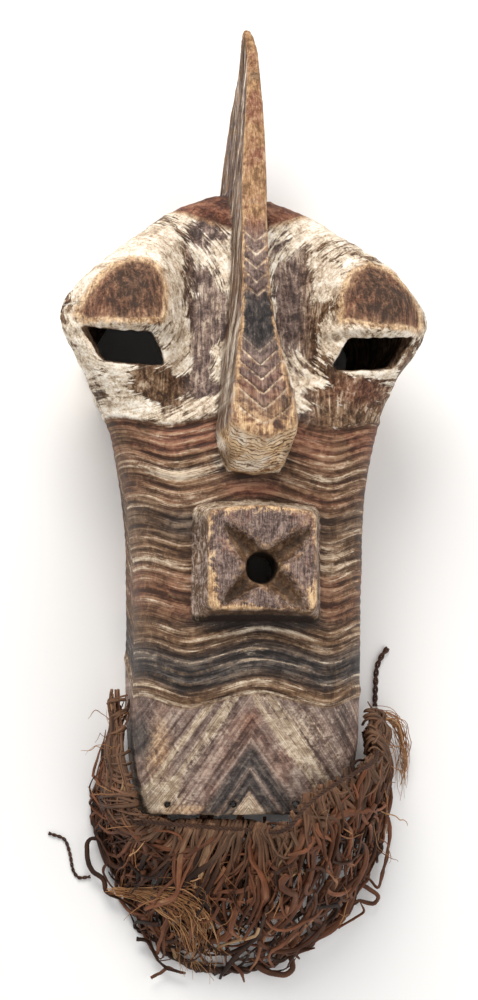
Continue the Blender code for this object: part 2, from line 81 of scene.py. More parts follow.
def softNoise(points, size, seed, octaves=1):
    # smooth noise from -1 to 1; size is one number or one for each axis
    total, weight = 0.0, 0.0
    for octave in range(octaves):
        p = points / np.array(size) * 2 ** octave
        cell = np.floor(p).astype(np.int64)
        t = p - cell
        t = t * t * (3 - 2 * t)
        value = 0.0
        for corner in range(8):
            step = np.array([corner & 1, corner >> 1 & 1, corner >> 2])
            share = np.prod(np.where(step, t, 1 - t), axis=1)
            value = value + share * hashed(*(cell + step).T, seed + octave)
        total = total + value / 2 ** octave
        weight += 1 / 2 ** octave
    return total / weight * 2 - 1


def toolScoops(points, size, seed):
    # squared distance from the nearest stroke's centre: 0 in a scoop's middle, up to about 0.6 on its ridge
    p = points / np.array(size)
    cell = np.floor(p).astype(np.int64)
    nearest = np.full(len(p), 9.0)
    for a in (-1, 0, 1):
        for b in (-1, 0, 1):
            for c in (-1, 0, 1):
                near = cell + np.array([a, b, c])
                spot = np.stack([hashed(*near.T, seed + k) for k in range(3)], axis=1)
                nearest = np.minimum(nearest, ((near + spot - p) ** 2).sum(1))
    return np.minimum(nearest, 0.8)


def arrayOf(items, name, width, kind=float):
    found = np.zeros(len(items) * width, kind)
    items.foreach_get(name, found)
    return found.reshape(-1, width)


def pointsOf(mesh):
    return arrayOf(mesh.vertices, "co", 3)


def setPoints(mesh, points):
    mesh.vertices.foreach_set("co", points.astype(np.float32).ravel())
    mesh.update()


def setAttribute(mesh, name, values):
    layer = mesh.attributes.get(name) or mesh.attributes.new(name, "FLOAT", "POINT")
    layer.data.foreach_set("value", np.asarray(values, np.float32))


def smoothed(values, edges, rounds):
    # each value drawn towards the mean of its neighbours
    count = len(values)
    degree = np.bincount(edges.ravel(), minlength=count)[:, None]
    for _ in range(rounds):
        total = np.stack([np.bincount(edges[:, 0], values[edges[:, 1], k], count)
                          + np.bincount(edges[:, 1], values[edges[:, 0], k], count)
                          for k in range(values.shape[1])], axis=1)
        values = 0.5 * values + 0.5 * total / np.maximum(degree, 1)
    return values


def linked(obj):
    bpy.context.scene.collection.objects.link(obj)
    return obj


def meshObject(name, mesh):
    return linked(bpy.data.objects.new(name, mesh))


def meshFrom(bm, name):
    mesh = bpy.data.meshes.new(name)
    bm.to_mesh(mesh)
    bm.free()
    return mesh


def evaluatedMesh(obj, name):
    graph = bpy.context.evaluated_depsgraph_get()
    mesh = bpy.data.meshes.new_from_object(obj.evaluated_get(graph))
    mesh.name = name
    return mesh


def loft(name, rings):
    # a closed body through rings of equal length, each end closed by a fan
    bm = bmesh.new()
    made = [[bm.verts.new(point) for point in ring] for ring in rings]
    count = len(made[0])
    for low, high in zip(made, made[1:]):
        for i in range(count):
            j = (i + 1) % count
            bm.faces.new((low[i], low[j], high[j], high[i]))
    for ring in (made[0], made[-1]):
        middle = bm.verts.new(sum((v.co for v in ring), Vector()) / count)
        for i in range(count):
            bm.faces.new((ring[i], ring[(i + 1) % count], middle))
    bmesh.ops.triangulate(bm, faces=bm.faces)
    bmesh.ops.recalc_face_normals(bm, faces=bm.faces)
    return meshObject(name, meshFrom(bm, name))


def smoothRoute(points, count):
    # evenly spaced points on a smooth curve through the given ones
    points = np.array(points, float)
    lengths = np.concatenate([[0.0], np.cumsum(np.linalg.norm(np.diff(points, axis=0), axis=1))])
    axes = [curveThrough(list(zip(lengths, points[:, axis]))) for axis in range(points.shape[1])]
    places = np.linspace(0.0, lengths[-1], count)
    return np.stack([axis(places) for axis in axes], axis=1)


# Camera, light and floor

stageLook = {
    "yaw": 9.0, "pitch": 7.0, "distance": 1.8,
    "target": (-0.00515, -0.0074, 0.13),
    "metresPerPixel": 0.00079, "pixelsHigh": 1000, "sensor": 36.0,
    "keyPower": 25.0, "fillPower": 8.0, "worldStrength": 0.58, "lightColour": (1.0, 0.965, 0.92),
}


def buildStage(look):
    yaw, pitch = math.radians(look["yaw"]), math.radians(look["pitch"])
    back = Vector((-math.sin(yaw) * math.cos(pitch), -math.sin(pitch), math.cos(yaw) * math.cos(pitch)))
    back.normalize()
    up = (Vector((0, 1, 0)) - back * back.y).normalized()
    side = up.cross(back)
    turned = Matrix((side, up, back)).transposed().to_4x4()
    turned.translation = Vector(look["target"]) + back * look["distance"]
    data = bpy.data.cameras.new("camera")
    data.sensor_fit = "VERTICAL"
    data.sensor_height = data.sensor_width = look["sensor"]
    data.lens = look["distance"] / look["metresPerPixel"] / look["pixelsHigh"] * look["sensor"]
    camera = linked(bpy.data.objects.new("camera", data))
    camera.matrix_world = turned
    bpy.context.scene.camera = camera

    for name, place, size, power in (
            ("key light", (-0.45, 1.15, 1.35), 1.0, look["keyPower"]),
            ("fill light", (0.9, -0.7, 1.3), 1.6, look["fillPower"])):
        lamp = bpy.data.lights.new(name, "AREA")
        lamp.size = size
        lamp.color = look["lightColour"]
        lamp.energy = power
        lit = linked(bpy.data.objects.new(name, lamp))
        lit.location = place
        lit.rotation_euler = (Vector((0, 0, 0.1)) - Vector(place)).to_track_quat("-Z", "Y").to_euler()

    world = bpy.data.worlds.new("studio")
    world.use_nodes = True
    world.node_tree.nodes["Background"].inputs["Color"].default_value = (1.0, 1.0, 1.0, 1.0)
    world.node_tree.nodes["Background"].inputs["Strength"].default_value = look["worldStrength"]
    bpy.context.scene.world = world
    bpy.context.scene.view_settings.view_transform = "Standard"

    bm = bmesh.new()
    bmesh.ops.create_grid(bm, x_segments=8, y_segments=8, size=3.0)
    floor = meshObject("floor", meshFrom(bm, "floor"))
    material = bpy.data.materials.new("studio floor")
    material.use_nodes = True
    shader = material.node_tree.nodes["Principled BSDF"]
    shader.inputs["Base Color"].default_value = (0.97, 0.97, 0.97, 1.0)
    shader.inputs["Roughness"].default_value = 0.9
    shader.inputs["Specular IOR Level"].default_value = 0.1
    floor.data.materials.append(material)


buildStage(stageLook)
print("stage: camera, lights and floor")


# Node trees

def rgba(colour):
    return (*colour, 1.0) if len(colour) == 3 else colour


class Nodes:
    # a node tree, with a short word for each kind of node that is used often
    def __init__(self, tree):
        self.tree = tree

    def feed(self, socket, value):
        # a link where the value comes out of a node, and else the value itself
        if isinstance(value, bpy.types.NodeSocket):
            self.tree.links.new(value, socket)
        else:
            socket.default_value = value

    def add(self, kind, inputs=None, **settings):
        node = self.tree.nodes.new(kind)
        for name, value in settings.items():
            setattr(node, name, value)
        for name, value in (inputs or {}).items():
            self.feed(node.inputs[name], value)
        return node

    def use(self, group, inputs):
        return self.add("ShaderNodeGroup", inputs, node_tree=group).outputs

    def math(self, how, a, b=0.5, c=0.5, clamp=False):
        return self.add("ShaderNodeMath", {0: a, 1: b, 2: c}, operation=how, use_clamp=clamp).outputs[0]

    def vectorMath(self, how, a, b):
        return self.add("ShaderNodeVectorMath", {0: a, 1: b}, operation=how).outputs[0]

    def scaled(self, vector, factor):
        return self.add("ShaderNodeVectorMath", {0: vector, "Scale": factor}, operation="SCALE").outputs[0]

    def mixed(self, factor, a, b):
        return self.add("ShaderNodeMix", {0: factor, 2: a, 3: b}).outputs[0]

    def blended(self, factor, a, b, how="MIX"):
        a, b = (value if isinstance(value, bpy.types.NodeSocket) else rgba(value) for value in (a, b))
        return self.add("ShaderNodeMix", {0: factor, 6: a, 7: b}, data_type="RGBA", blend_type=how).outputs[2]

    def ramp(self, value, stops):
        node = self.add("ShaderNodeValToRGB", {"Fac": value})
        ramp = node.color_ramp
        while len(ramp.elements) > 1:
            ramp.elements.remove(ramp.elements[-1])
        ramp.elements[0].position = stops[0][0]
        ramp.elements[0].color = rgba(stops[0][1])
        for place, colour in stops[1:]:
            ramp.elements.new(place).color = rgba(colour)
        return node.outputs["Color"]

    def ranged(self, value, low, high, toLow=0.0, toHigh=1.0):
        return self.add("ShaderNodeMapRange", {0: value, 1: low, 2: high, 3: toLow, 4: toHigh},
                        interpolation_type="SMOOTHSTEP").outputs[0]

    def noise(self, vector, scale, detail=3.0, roughness=0.6, distortion=0.0):
        return self.add("ShaderNodeTexNoise", {"Vector": vector, "Scale": scale, "Detail": detail,
                                               "Roughness": roughness,
                                               "Distortion": distortion}).outputs["Fac"]

    def mapped(self, vector, scale=(1, 1, 1), turn=(0, 0, 0)):
        return self.add("ShaderNodeMapping",
                        {"Vector": vector, "Scale": scale, "Rotation": turn}).outputs["Vector"]

    def guide(self, name):
        return self.add("ShaderNodeAttribute", attribute_name=name).outputs["Fac"]

    def vector(self, x, y, z):
        return self.add("ShaderNodeCombineXYZ", {0: x, 1: y, 2: z}).outputs[0]

    def objectPlace(self):
        return self.add("ShaderNodeTexCoord").outputs["Object"]

    def plus(self, tone, value, weight):
        return self.math("MULTIPLY_ADD", value, weight, tone)

    def times(self, *values):
        result = values[0]
        for value in values[1:]:
            result = self.math("MULTIPLY", result, value)
        return result

    def inverse(self, value):
        return self.math("SUBTRACT", 1.0, value)

    def jittered(self, value, noise, reach):
        # a value whose border wanders by up to half the reach
        return self.plus(value, self.math("SUBTRACT", noise, 0.5), reach)


def newTree(name, kind, inputs, outputs):
    # an empty node group; inputs are (name, kind, value) and outputs (name, kind)
    tree = bpy.data.node_groups.new(name, kind)
    for label, socketKind, value in inputs:
        socket = tree.interface.new_socket(name=label, in_out="INPUT", socket_type=f"NodeSocket{socketKind}")
        if value is not None:
            socket.default_value = value
    for label, socketKind in outputs:
        tree.interface.new_socket(name=label, in_out="OUTPUT", socket_type=f"NodeSocket{socketKind}")
    n = Nodes(tree)
    return n, n.add("NodeGroupInput").outputs, n.add("NodeGroupOutput").inputs


def buildBrushStreaks():
    # long fine streaks that run along x of the vector it gets, as a brush or a grain leaves them
    n, given, out = newTree("brush streaks", "ShaderNodeTree",
                            [("Vector", "Vector", None), ("Scale", "Float", 1.0)],
                            [("Streak", "Float"), ("Grain", "Float")])
    scaled = n.scaled(given["Vector"], given["Scale"])
    n.feed(out["Streak"], n.noise(n.mapped(scaled, (28, 330, 330)), 1.0, 4.0, 0.65, 0.4))
    n.feed(out["Grain"], n.noise(n.mapped(scaled, (90, 1300, 1300)), 1.0, 3.0, 0.6, 0.2))
    return n.tree


def buildFlakes():
    # a coat of paint that has flaked: 1 where paint is left
    n, given, out = newTree("flaking paint", "ShaderNodeTree",
                            [("Vector", "Vector", None), ("Cover", "Float", 0.5), ("Size", "Float", 150.0),
                             ("Softness", "Float", 0.05)], [("Paint", "Float"), ("Thickness", "Float")])
    broad = n.noise(given["Vector"], n.times(given["Size"], 0.22), 4.0, 0.6, 0.6)
    fine = n.noise(given["Vector"], given["Size"], 5.0, 0.7, 0.8)
    value = n.math("ADD", n.times(broad, 0.55), n.times(fine, 0.45))
    edge = n.ranged(n.inverse(given["Cover"]), 0.0, 1.0, 0.3, 0.7)
    low = n.math("SUBTRACT", edge, given["Softness"])
    high = n.math("ADD", edge, given["Softness"])
    n.feed(out["Paint"], n.ranged(value, low, high))
    n.feed(out["Thickness"], value)
    return n.tree


def buildWearAndShade():
    # bare wood where hands and knocks reach: on the ridges, broken up by noise; and painted shade in the
    # grooves
    n, given, out = newTree("edge wear and shade", "ShaderNodeTree",
                            [("Edge", "Float", 0.0), ("Vector", "Vector", None), ("Amount", "Float", 1.0)],
                            [("Worn", "Float"), ("GrooveShade", "Float")])
    rough = n.ranged(n.noise(given["Vector"], 190.0, 4.0, 0.7), 0.25, 0.75, -0.45, 0.45)
    edge = n.times(given["Edge"], given["Amount"])
    n.feed(out["Worn"], n.ranged(n.math("ADD", edge, rough), 0.35, 0.95))
    n.feed(out["GrooveShade"], n.ranged(n.math("SUBTRACT", n.times(rough, 0.5), edge), 0.15, 0.9))
    return n.tree


brushStreaks = buildBrushStreaks()
flakingPaint = buildFlakes()
edgeWearAndShade = buildWearAndShade()


# Fibre: the beard, its ropes and loose strands

beardShape = {
    "inner": ((0.0, -0.0842, 0.098, 0.05), (0.12, -0.0846, 0.045, 0.062), (0.22, -0.079, 0.004, 0.074),
              (0.26, -0.0715, -0.004, 0.083), (0.3, -0.057, -0.003, 0.09), (0.42, -0.012, -0.002, 0.097),
              (0.5, 0.012, -0.002, 0.098), (0.53, 0.021, -0.004, 0.108), (0.556, 0.029, -0.004, 0.128),
              (0.6, 0.04, 0.014, 0.1365), (0.66, 0.06, 0.03, 0.135), (0.72, 0.081, 0.039, 0.125),
              (0.78, 0.103, 0.048, 0.101), (0.86, 0.1085, 0.068, 0.078), (1.0, 0.1095, 0.088, 0.062)),
    "outer": ((0.0, -0.095, 0.104, 0.012), (0.12, -0.098, 0.052, 0.012), (0.22, -0.104, 0.008, 0.01),
              (0.3, -0.091, -0.037, 0.01), (0.36, -0.07, -0.08, 0.01), (0.42, -0.046, -0.112, 0.01),
              (0.5, 0.002, -0.125, 0.01), (0.56, 0.04, -0.125, 0.01), (0.6, 0.065, -0.113, 0.01),
              (0.66, 0.094, -0.088, 0.01), (0.72, 0.118, -0.055, 0.01), (0.78, 0.131, -0.016, 0.01),
              (0.86, 0.135, 0.03, 0.012), (1.0, 0.131, 0.078, 0.012)),
    "thickness": 0.013, "droop": 1.7,
    "cordShares": (0.26, 0.8), "cordOut": 0.07, "cordRadius": 0.003,
    "hemShares": (0.25, 0.86), "hemRadius": 0.0045,
}

strandSizes = {
    # the under strands' low tone is painted shade beneath the upper layers
    "under": {"count": 105, "width": 0.0042, "thickness": 0.0009, "wave": 0.003, "tone": 0.22, "sides": 5},
    "collar": {"count": 290, "width": 0.0037, "thickness": 0.0012, "wave": 0.0022, "tone": 0.44, "sides": 6},
    "windings": {"count": 300, "width": 0.003, "thickness": 0.0014, "wave": 0.002, "tone": 0.36, "sides": 5},
    "tangle": {"count": 235, "width": 0.0036, "thickness": 0.0015, "wave": 0.0028, "tone": 0.43, "sides": 6},
    "hemLoops": {"count": 115, "width": 0.003, "thickness": 0.0014, "wave": 0.0026, "tone": 0.34, "sides": 6},
    "fineFibre": {"count": 170, "width": 0.0007, "thickness": 0.0005, "wave": 0.0024, "tone": 0.5,
                  "sides": 4},
}

# strands that stand out in the beard: (thickness against the others, lift, points (x, y))
strayStrands = (
    (1.25, 0.002, ((-0.093, -0.024), (-0.108, -0.0205), (-0.1126, -0.0263), (-0.1115, -0.0375),
                   (-0.1075, -0.0475),
                   (-0.0985, -0.0545), (-0.0963, -0.0629), (-0.0843, -0.07), (-0.0714, -0.0789))),
    (1.05, 0.004, ((-0.0942, -0.0376), (-0.099, -0.047), (-0.095, -0.0559), (-0.086, -0.063),
                   (-0.0747, -0.0631),
                   (-0.0659, -0.072))),
    (1.35, 0.001, ((-0.0712, -0.1017), (-0.0632, -0.1037), (-0.0583, -0.1091), (-0.0547, -0.1176),
                   (-0.0453, -0.126),
                   (-0.0307, -0.1299))),
    (0.9, 0.001, ((-0.0588, -0.1333), (-0.0517, -0.1297), (-0.0453, -0.126), (-0.0372, -0.1283))),
    (0.9, 0.001, ((0.008, -0.123), (0.015, -0.129), (0.0187, -0.138))),
    (1.5, 0.002, ((0.028, -0.125), (0.039, -0.1305), (0.052, -0.1325), (0.059, -0.127), (0.057, -0.118),
                   (0.0647, -0.1137), (0.0772, -0.1106))),
    (1.35, 0.001, ((0.1277, -0.0031), (0.1394, -0.0038), (0.1417, -0.0161), (0.1402, -0.0323),
                   (0.1347, -0.0517),
                   (0.1313, -0.062), (0.1233, -0.0549), (0.114, -0.0484))),
    (1.15, 0.001, ((0.1073, -0.0531), (0.1206, -0.0613), (0.1312, -0.0704), (0.1272, -0.0749),
                   (0.1139, -0.0725),
                   (0.1038, -0.0805))),
    (1.1, 0.001, ((0.0971, -0.0948), (0.1104, -0.0876), (0.1191, -0.0806), (0.1155, -0.0725))),
    (1.7, 0.007, ((0.0017, -0.0509), (0.0115, -0.0461), (0.0263, -0.0453), (0.0378, -0.0383))),
    (1.6, 0.007, ((0.0445, -0.0093), (0.0576, -0.0384), (0.0526, -0.064), (0.0443, -0.0831),
                  (0.0312, -0.0958))),
    (1.6, 0.007, ((-0.0213, -0.0091), (-0.0326, -0.0379), (-0.026, -0.0634), (-0.0113, -0.0826),
                  (-0.0032, -0.0938))),
    (1.3, 0.006, ((-0.0441, -0.0091), (-0.0538, -0.0378), (-0.0601, -0.0632), (-0.0659, -0.0821))),
    (1.4, 0.006, ((0.0742, -0.0191), (0.0841, -0.045), (0.0774, -0.0706), (0.0839, -0.0931),
                  (0.0739, -0.1058))),
    (1.5, 0.007, ((0.0181, -0.0125), (0.0115, -0.0509), (0.0213, -0.0766), (0.0115, -0.1019))),
)

looseEnds = {
    "left": {"points": ((-0.1085, -0.052), (-0.117, -0.053), (-0.1225, -0.047), (-0.1255, -0.033),
                        (-0.13, -0.0215), (-0.143, -0.0165)), "radius": 0.0016},
    "right": {"points": ((0.1315, 0.089), (0.132, 0.102), (0.133, 0.119), (0.137, 0.13),
                         (0.143, 0.138)), "radius": 0.0026},
}

beardInner, beardOuter = ([curveThrough([(row[0], row[axis]) for row in beardShape[edge]]) for axis in (1, 2,
                                                                                                        3)]
                          for edge in ("inner", "outer"))


def beardPoint(share, out):
    # the middle of the beard's sheet: share of the way round, and out from the chin to the hem
    share, out = np.broadcast_arrays(np.asarray(share, float), np.asarray(out, float))
    inner = [axis(share) for axis in beardInner]
    outer = [axis(share) for axis in beardOuter]
    x = inner[0] + (outer[0] - inner[0]) * out
    y = inner[1] + (outer[1] - inner[1]) * out
    z = inner[2] + (outer[2] - inner[2]) * np.maximum(out, 0.0) ** beardShape["droop"]
    return np.stack([x, y, z], axis=-1)


def beardFrame(share, out):
    # steps of one unit of share and of out, and the normal that points away from the floor
    round_ = (beardPoint(share + 0.003, out) - beardPoint(share - 0.003, out)) / 0.006
    ahead = (beardPoint(share, out + 0.01) - beardPoint(share, np.maximum(out - 0.01, 0.001))) / 0.02
    normal = np.cross(ahead, round_)
    normal /= np.linalg.norm(normal, axis=-1, keepdims=True)
    normal = np.where(normal[..., 2:3] < 0, -normal, normal)
    return round_, ahead, normal


def sheetHeight(x, y):
    # height of the beard's sheet over a place on the floor
    shares, outs = np.meshgrid(np.linspace(0.0, 1.0, 140), np.linspace(0.0, 1.0, 45))
    grid = beardPoint(shares.ravel(), outs.ravel())
    nearest = ((grid[None, :, 0] - x[:, None]) ** 2 + (grid[None, :, 1] - y[:, None]) ** 2).argmin(1)
    return grid[nearest, 2]


def walk(rng, share, out, heading, steps, stride, wander, pull=0.35, turns=0.0, outLimit=1.0, curl=0.0):
    # strands that creep over the beard's sheet; heading 0 leads out to the hem, and 90 degrees leads round
    count = len(share)
    lowest = np.minimum(out, 0.02)
    places = [(share.copy(), out.copy())]
    drift = rng.normal(0, 1, count) * wander
    phase, pace = rng.uniform(0, 6.3, count), rng.uniform(4, 10, count)
    for step in range(steps):
        drift = 0.75 * drift + rng.normal(0, 1, count) * wander
        heading = heading + drift + turns / steps + curl * pace / steps * np.cos(pace * step / steps + phase)
        heading = heading - pull * np.sin(heading) * (np.abs(turns) < 0.1)
        round_, ahead, _ = beardFrame(share, out)
        share = share + stride * np.sin(heading) / np.linalg.norm(round_, axis=1)
        out = out + stride * np.cos(heading) / np.linalg.norm(ahead, axis=1)
        over = out > outLimit
        away = np.where(np.sin(heading) >= 0, 1.0, -1.0)
        heading = np.where(over, away * (math.pi / 2 + rng.uniform(0.1, 1.1, count)), heading)
        out = np.clip(out, lowest, outLimit + 0.01)
        share = np.clip(share, 0.0, 1.0)
        places.append((share.copy(), out.copy()))
    shares = np.stack([a for a, b in places], axis=1)
    outs = np.stack([b for a, b in places], axis=1)
    return shares, outs


def lifted(shares, outs, height):
    # points at a height over the middle of the beard's sheet
    _, _, normal = beardFrame(shares, outs)
    return beardPoint(shares, outs) + normal * height[..., None]


def clumped(rng, count, low, high, spread):
    # starting places in clumps of three to six
    starts = []
    while len(starts) < count:
        starts += list(rng.uniform(low, high) + rng.normal(0, spread, rng.integers(3, 7)))
    return np.clip(np.array(starts[:count]), low, high)


def swayed(rng, count, steps, low, high, reach):
    # a slow rise and fall along each strand
    wave = np.linspace(0, 1, steps + 1)[None, :] * rng.uniform(low, high, (count, 1)) + rng.uniform(0, 6,
                                                                                                    (count,
                                                                                                     1))
    return reach * np.sin(wave)


def underStrands(rng, count):
    # a layer of real fibre under the rest, toned darker as painted shade
    share = rng.uniform(0.235, 0.895, count)
    belowChin = (share > 0.26) & (share < 0.52)
    out = np.where(belowChin, rng.uniform(-0.12, 0.42, count), rng.uniform(0.04, 0.45, count))
    shares, outs = walk(rng, share, out, rng.normal(0, 0.45, count), 20, 0.0058, 0.1, 0.25,
                        curl=rng.uniform(0, 0.5, count))
    height = -0.0045 + rng.normal(0, 0.001, (count, 1)) + swayed(rng, count, 20, 3, 7, 0.001)
    return trimmed(lifted(shares, outs, height), rng.uniform(0.6, 1.0, count))


def collarStrands(rng, count):
    # knotted over the cord in clumps, then hanging over each other
    share = np.where(rng.uniform(0, 1, count) < 0.62, clumped(rng, count, 0.235, 0.56, 0.004),
                     clumped(rng, count, 0.53, 0.885, 0.007))
    loose = ease(0.5, 0.6, share)
    steps = 24
    heading = rng.normal(0, 1, count) * (0.2 + 0.42 * loose)
    out = 0.015 + np.abs(rng.normal(0, 1, count)) * (0.015 + 0.05 * loose)
    shares, outs = walk(rng, share, out, heading, steps, 0.0052, 0.065 + 0.06 * loose, 0.2,
                        curl=rng.uniform(0, 0.6, count) + 0.55 * loose)
    over = np.exp(-((outs - beardShape["cordOut"]) / 0.05) ** 2)
    height = 0.003 + (0.008 - 0.007 * loose[:, None]) * over + rng.uniform(-0.0045, 0.004,
                                                                           (count, 1)) * (1 - over)
    height = height + swayed(rng, count, steps, 4, 9, 0.0022) * np.linspace(0, 1, steps + 1)[None, :]
    return trimmed(lifted(shares, outs, height), rng.uniform(0.25, 1.0, count) * (1 - 0.25 * loose))


def tangleStrands(rng, count):
    share = rng.uniform(0.215, 0.905, count)
    out = rng.uniform(0.06, 0.78, count)
    shares, outs = walk(rng, share, out, rng.normal(0, 0.85, count), 24, 0.0052, 0.15, 0.14,
                        outLimit=1.02, curl=rng.uniform(0, 1.2, count))
    height = rng.uniform(-0.0045, 0.006, (count, 1)) + swayed(rng, count, 24, 5, 12, 0.0032)
    return trimmed(lifted(shares, outs, height), rng.uniform(0.4, 1.0, count))


def hemLoops(rng, count):
    share = rng.uniform(0.225, 0.91, count)
    out = rng.uniform(0.62, 0.9, count)
    turns = rng.choice([-1.0, 1.0], count) * rng.uniform(2.4, 5.4, count)
    shares, outs = walk(rng, share, out, -turns * 0.16, 20, 0.0046, 0.08, 0.0, turns, 1.06)
    height = rng.uniform(-0.003, 0.004, (count, 1)) + swayed(rng, count, 20, 4, 9, 0.0025)
    return trimmed(lifted(shares, outs, height), rng.uniform(0.6, 1.0, count))


def strays():
    strands = []
    for _, lift, points in strayStrands:
        route = smoothRoute(points, 5 * len(points))
        height = np.maximum(sheetHeight(route[:, 0], route[:, 1]) + lift, 0.002)
        height = np.convolve(np.pad(height, 2, "edge"), np.full(5, 0.2), "valid")
        strands.append(np.column_stack([route, height]))
    return strands


# the two rolls beside the chin: (first share, last share, part of the strands)
rollShape = {"parts": ((0.0, 0.275, 0.6), (0.775, 1.0, 0.4)), "wound": 0.13, "middle": 0.45, "steps": 17,
             "woundLength": (0.018, 0.045), "length": (0.07, 0.17), "woundWide": (0.9, 0.98),
             "wide": (0.3, 0.98), "woundDeep": 0.0085, "deep": (0.005, 0.0092)}


def windings(rng, count):
    # strands laid along the two rolls, and a few wound round them
    r = rollShape
    strands = []
    steps = np.linspace(0, 1, r["steps"])
    for low, high, part in r["parts"]:
        for _ in range(int(count * part)):
            wraps = rng.uniform() < r["wound"]
            length = rng.uniform(*r["woundLength" if wraps else "length"])
            start = rng.uniform(low, high - length)
            here = start + length * (steps if rng.uniform() < 0.5 else 1 - steps)
            if wraps:
                turn = -0.5 + 4.2 * steps + rng.normal(0, 0.15)
            else:
                turn = rng.uniform(0.1, 3.0) + rng.normal(0.7, 0.5) * steps
                turn = turn + 0.15 * np.sin(steps * rng.uniform(4, 10))
            middle = beardPoint(here, r["middle"])
            _, ahead, normal = beardFrame(here, np.full(len(here), r["middle"]))
            ahead = ahead / np.linalg.norm(ahead, axis=1, keepdims=True)
            wide = 0.5 * np.linalg.norm(beardPoint(here, 0.92) - beardPoint(here, 0.02), axis=1)
            wide = wide * rng.uniform(*r["woundWide" if wraps else "wide"])
            wide = wide * (0.12 + 0.88 * ease(0.0, 0.16, here))
            deep = (r["woundDeep"] if wraps else rng.uniform(*r["deep"])) + 0.0018 * np.sin(here * 70)
            aside, over = -np.cos(turn) * wide, np.sin(turn) * deep
            strands.append(middle + ahead * aside[:, None] + normal * over[:, None])
    return strands


# the thinnest fibres: a pale tuft over the beard's left, a frayed bunch at its right, and hairs all over
fineShape = {"tuftShare": 0.4, "bunchShare": 0.18, "steps": 15, "lowest": 0.0012,
             "tuft": ((-0.082, -0.063), (-0.02, -0.11), (0.013, 0.012)),
             "bunch": ((0.129, 0.08, 0.03), (0.153, 0.029, 0.004), (0.0085, 0.014, 0.006))}


def bowed(rng, start, end, bow, reach, fastest):
    # a path that bows to one side, with a wave that grows towards its end
    t = np.linspace(0, 1, fineShape["steps"])[:, None]
    path = start + (end - start) * t + bow * 4 * t * (1 - t)
    return path + reach * np.sin(t * rng.uniform(6, fastest) + rng.uniform(0, 6, len(start))) * t


def fineFibres(rng, count):
    f = fineShape
    strands = []
    for _ in range(count):
        kind = rng.uniform()
        if kind < f["tuftShare"]:
            start, end, bow = (np.array(place) for place in f["tuft"])
            start = start + rng.normal(0, (0.007, 0.0025))
            end = end + rng.normal(0, (0.009, 0.013))
            path = bowed(rng, start, end, bow + rng.normal(0, 0.006, 2), 0.0022, 18)
            lift = 0.0065 + rng.uniform(0, 0.006) * np.sin(3 * np.linspace(0, 1, f["steps"]))
            path = np.column_stack([path, sheetHeight(path[:, 0], path[:, 1]) + lift])
        elif kind < f["tuftShare"] + f["bunchShare"]:
            start, end, bow = (np.array(place) for place in f["bunch"])
            start = start + rng.normal(0, (0.002, 0.003, 0.003))
            end = end + np.clip(rng.normal(0, (0.003, 0.014, 0.002)), -0.03, 0.0045)
            bow = bow + np.clip(rng.normal(0, 0.004, 3), -0.01, 0.003)
            path = bowed(rng, start, end, bow, 0.0016, 18)
        else:
            share = rng.uniform(0.02, 0.98)
            start = beardPoint(share, rng.uniform(0.2, 0.95)) + np.array([0, 0, 0.004])
            away = beardPoint(share, 1.0) - beardPoint(share, 0.6)
            away[2] = 0.0
            end = start + away / np.linalg.norm(away) * rng.uniform(0.004, 0.02) + rng.normal(0, 0.009, 3)
            path = bowed(rng, start, end, rng.normal(0, 0.006, 3), 0.0014, 16)
        path[:, 2] = np.maximum(path[:, 2], f["lowest"])
        strands.append(path)
    return strands


def trimmed(strands, shares):
    return [strand[:max(6, int(len(strand) * share))] for strand, share in zip(strands, shares)]


def twistedOffsets(rng, strands):
    # a slow turn of each flat strand about its own length
    return [np.cumsum(rng.normal(0, 0.16, len(strand))) + rng.normal(0, 0.45) for strand in strands]


def guideObject(name, strands, tones, sizes, tilts):
    # the strands as bare edges, with a tone and a size for each strand and a tilt for each point
    points = np.concatenate(strands) + rowShift
    points[:, 2] = np.maximum(points[:, 2], 0.0012)
    edges, start = [], 0
    for strand in strands:
        edges += [(i, i + 1) for i in range(start, start + len(strand) - 1)]
        start += len(strand)
    mesh = bpy.data.meshes.new(name)
    mesh.from_pydata([tuple(p) for p in points], edges, [])
    setAttribute(mesh, "strandTone", np.concatenate([np.full(len(s), t) for s, t in zip(strands, tones)]))
    setAttribute(mesh, "strandSize", np.concatenate([np.full(len(s), t) for s, t in zip(strands, sizes)]))
    setAttribute(mesh, "strandTilt", np.concatenate(tilts))
    return meshObject(name, mesh)


def stored(n, geometry, name, value):
    node = n.add("GeometryNodeStoreNamedAttribute", {"Geometry": geometry, "Name": name},
                 data_type="FLOAT", domain="POINT")
    n.feed(next(socket for socket in node.inputs if socket.name == "Value" and socket.enabled), value)
    return node.outputs["Geometry"]


def known(n, name):
    return n.add("GeometryNodeInputNamedAttribute", {"Name": name}, data_type="FLOAT").outputs["Attribute"]


def unevenness(n, scale, seed):
    place = n.add("GeometryNodeInputPosition").outputs[0]
    return n.add("ShaderNodeTexNoise", {"Scale": scale, "Detail": 2.0, "Vector": place, "W": seed},
                 noise_dimensions="4D").outputs


def sweep(n, out, curve, profile, material):
    # a tube along each curve, as one plain mesh whose points know their place round the tube
    around = n.add("GeometryNodeSplineParameter").outputs["Factor"]
    tube = n.add("GeometryNodeCurveToMesh", {"Curve": curve, "Fill Caps": True,
                                             "Profile Curve": stored(n, profile, "strandAround", around)})
    if "Scale" in tube.inputs:
        n.feed(tube.inputs["Scale"], n.add("GeometryNodeInputRadius").outputs[0])
    soft = n.add("GeometryNodeSetShadeSmooth", {"Geometry": tube.outputs["Mesh"]}).outputs["Geometry"]
    real = n.add("GeometryNodeRealizeInstances", {"Geometry": soft}).outputs["Geometry"]
    painted = n.add("GeometryNodeSetMaterial", {"Geometry": real, "Material": material})
    n.feed(out["Geometry"], painted.outputs["Geometry"])


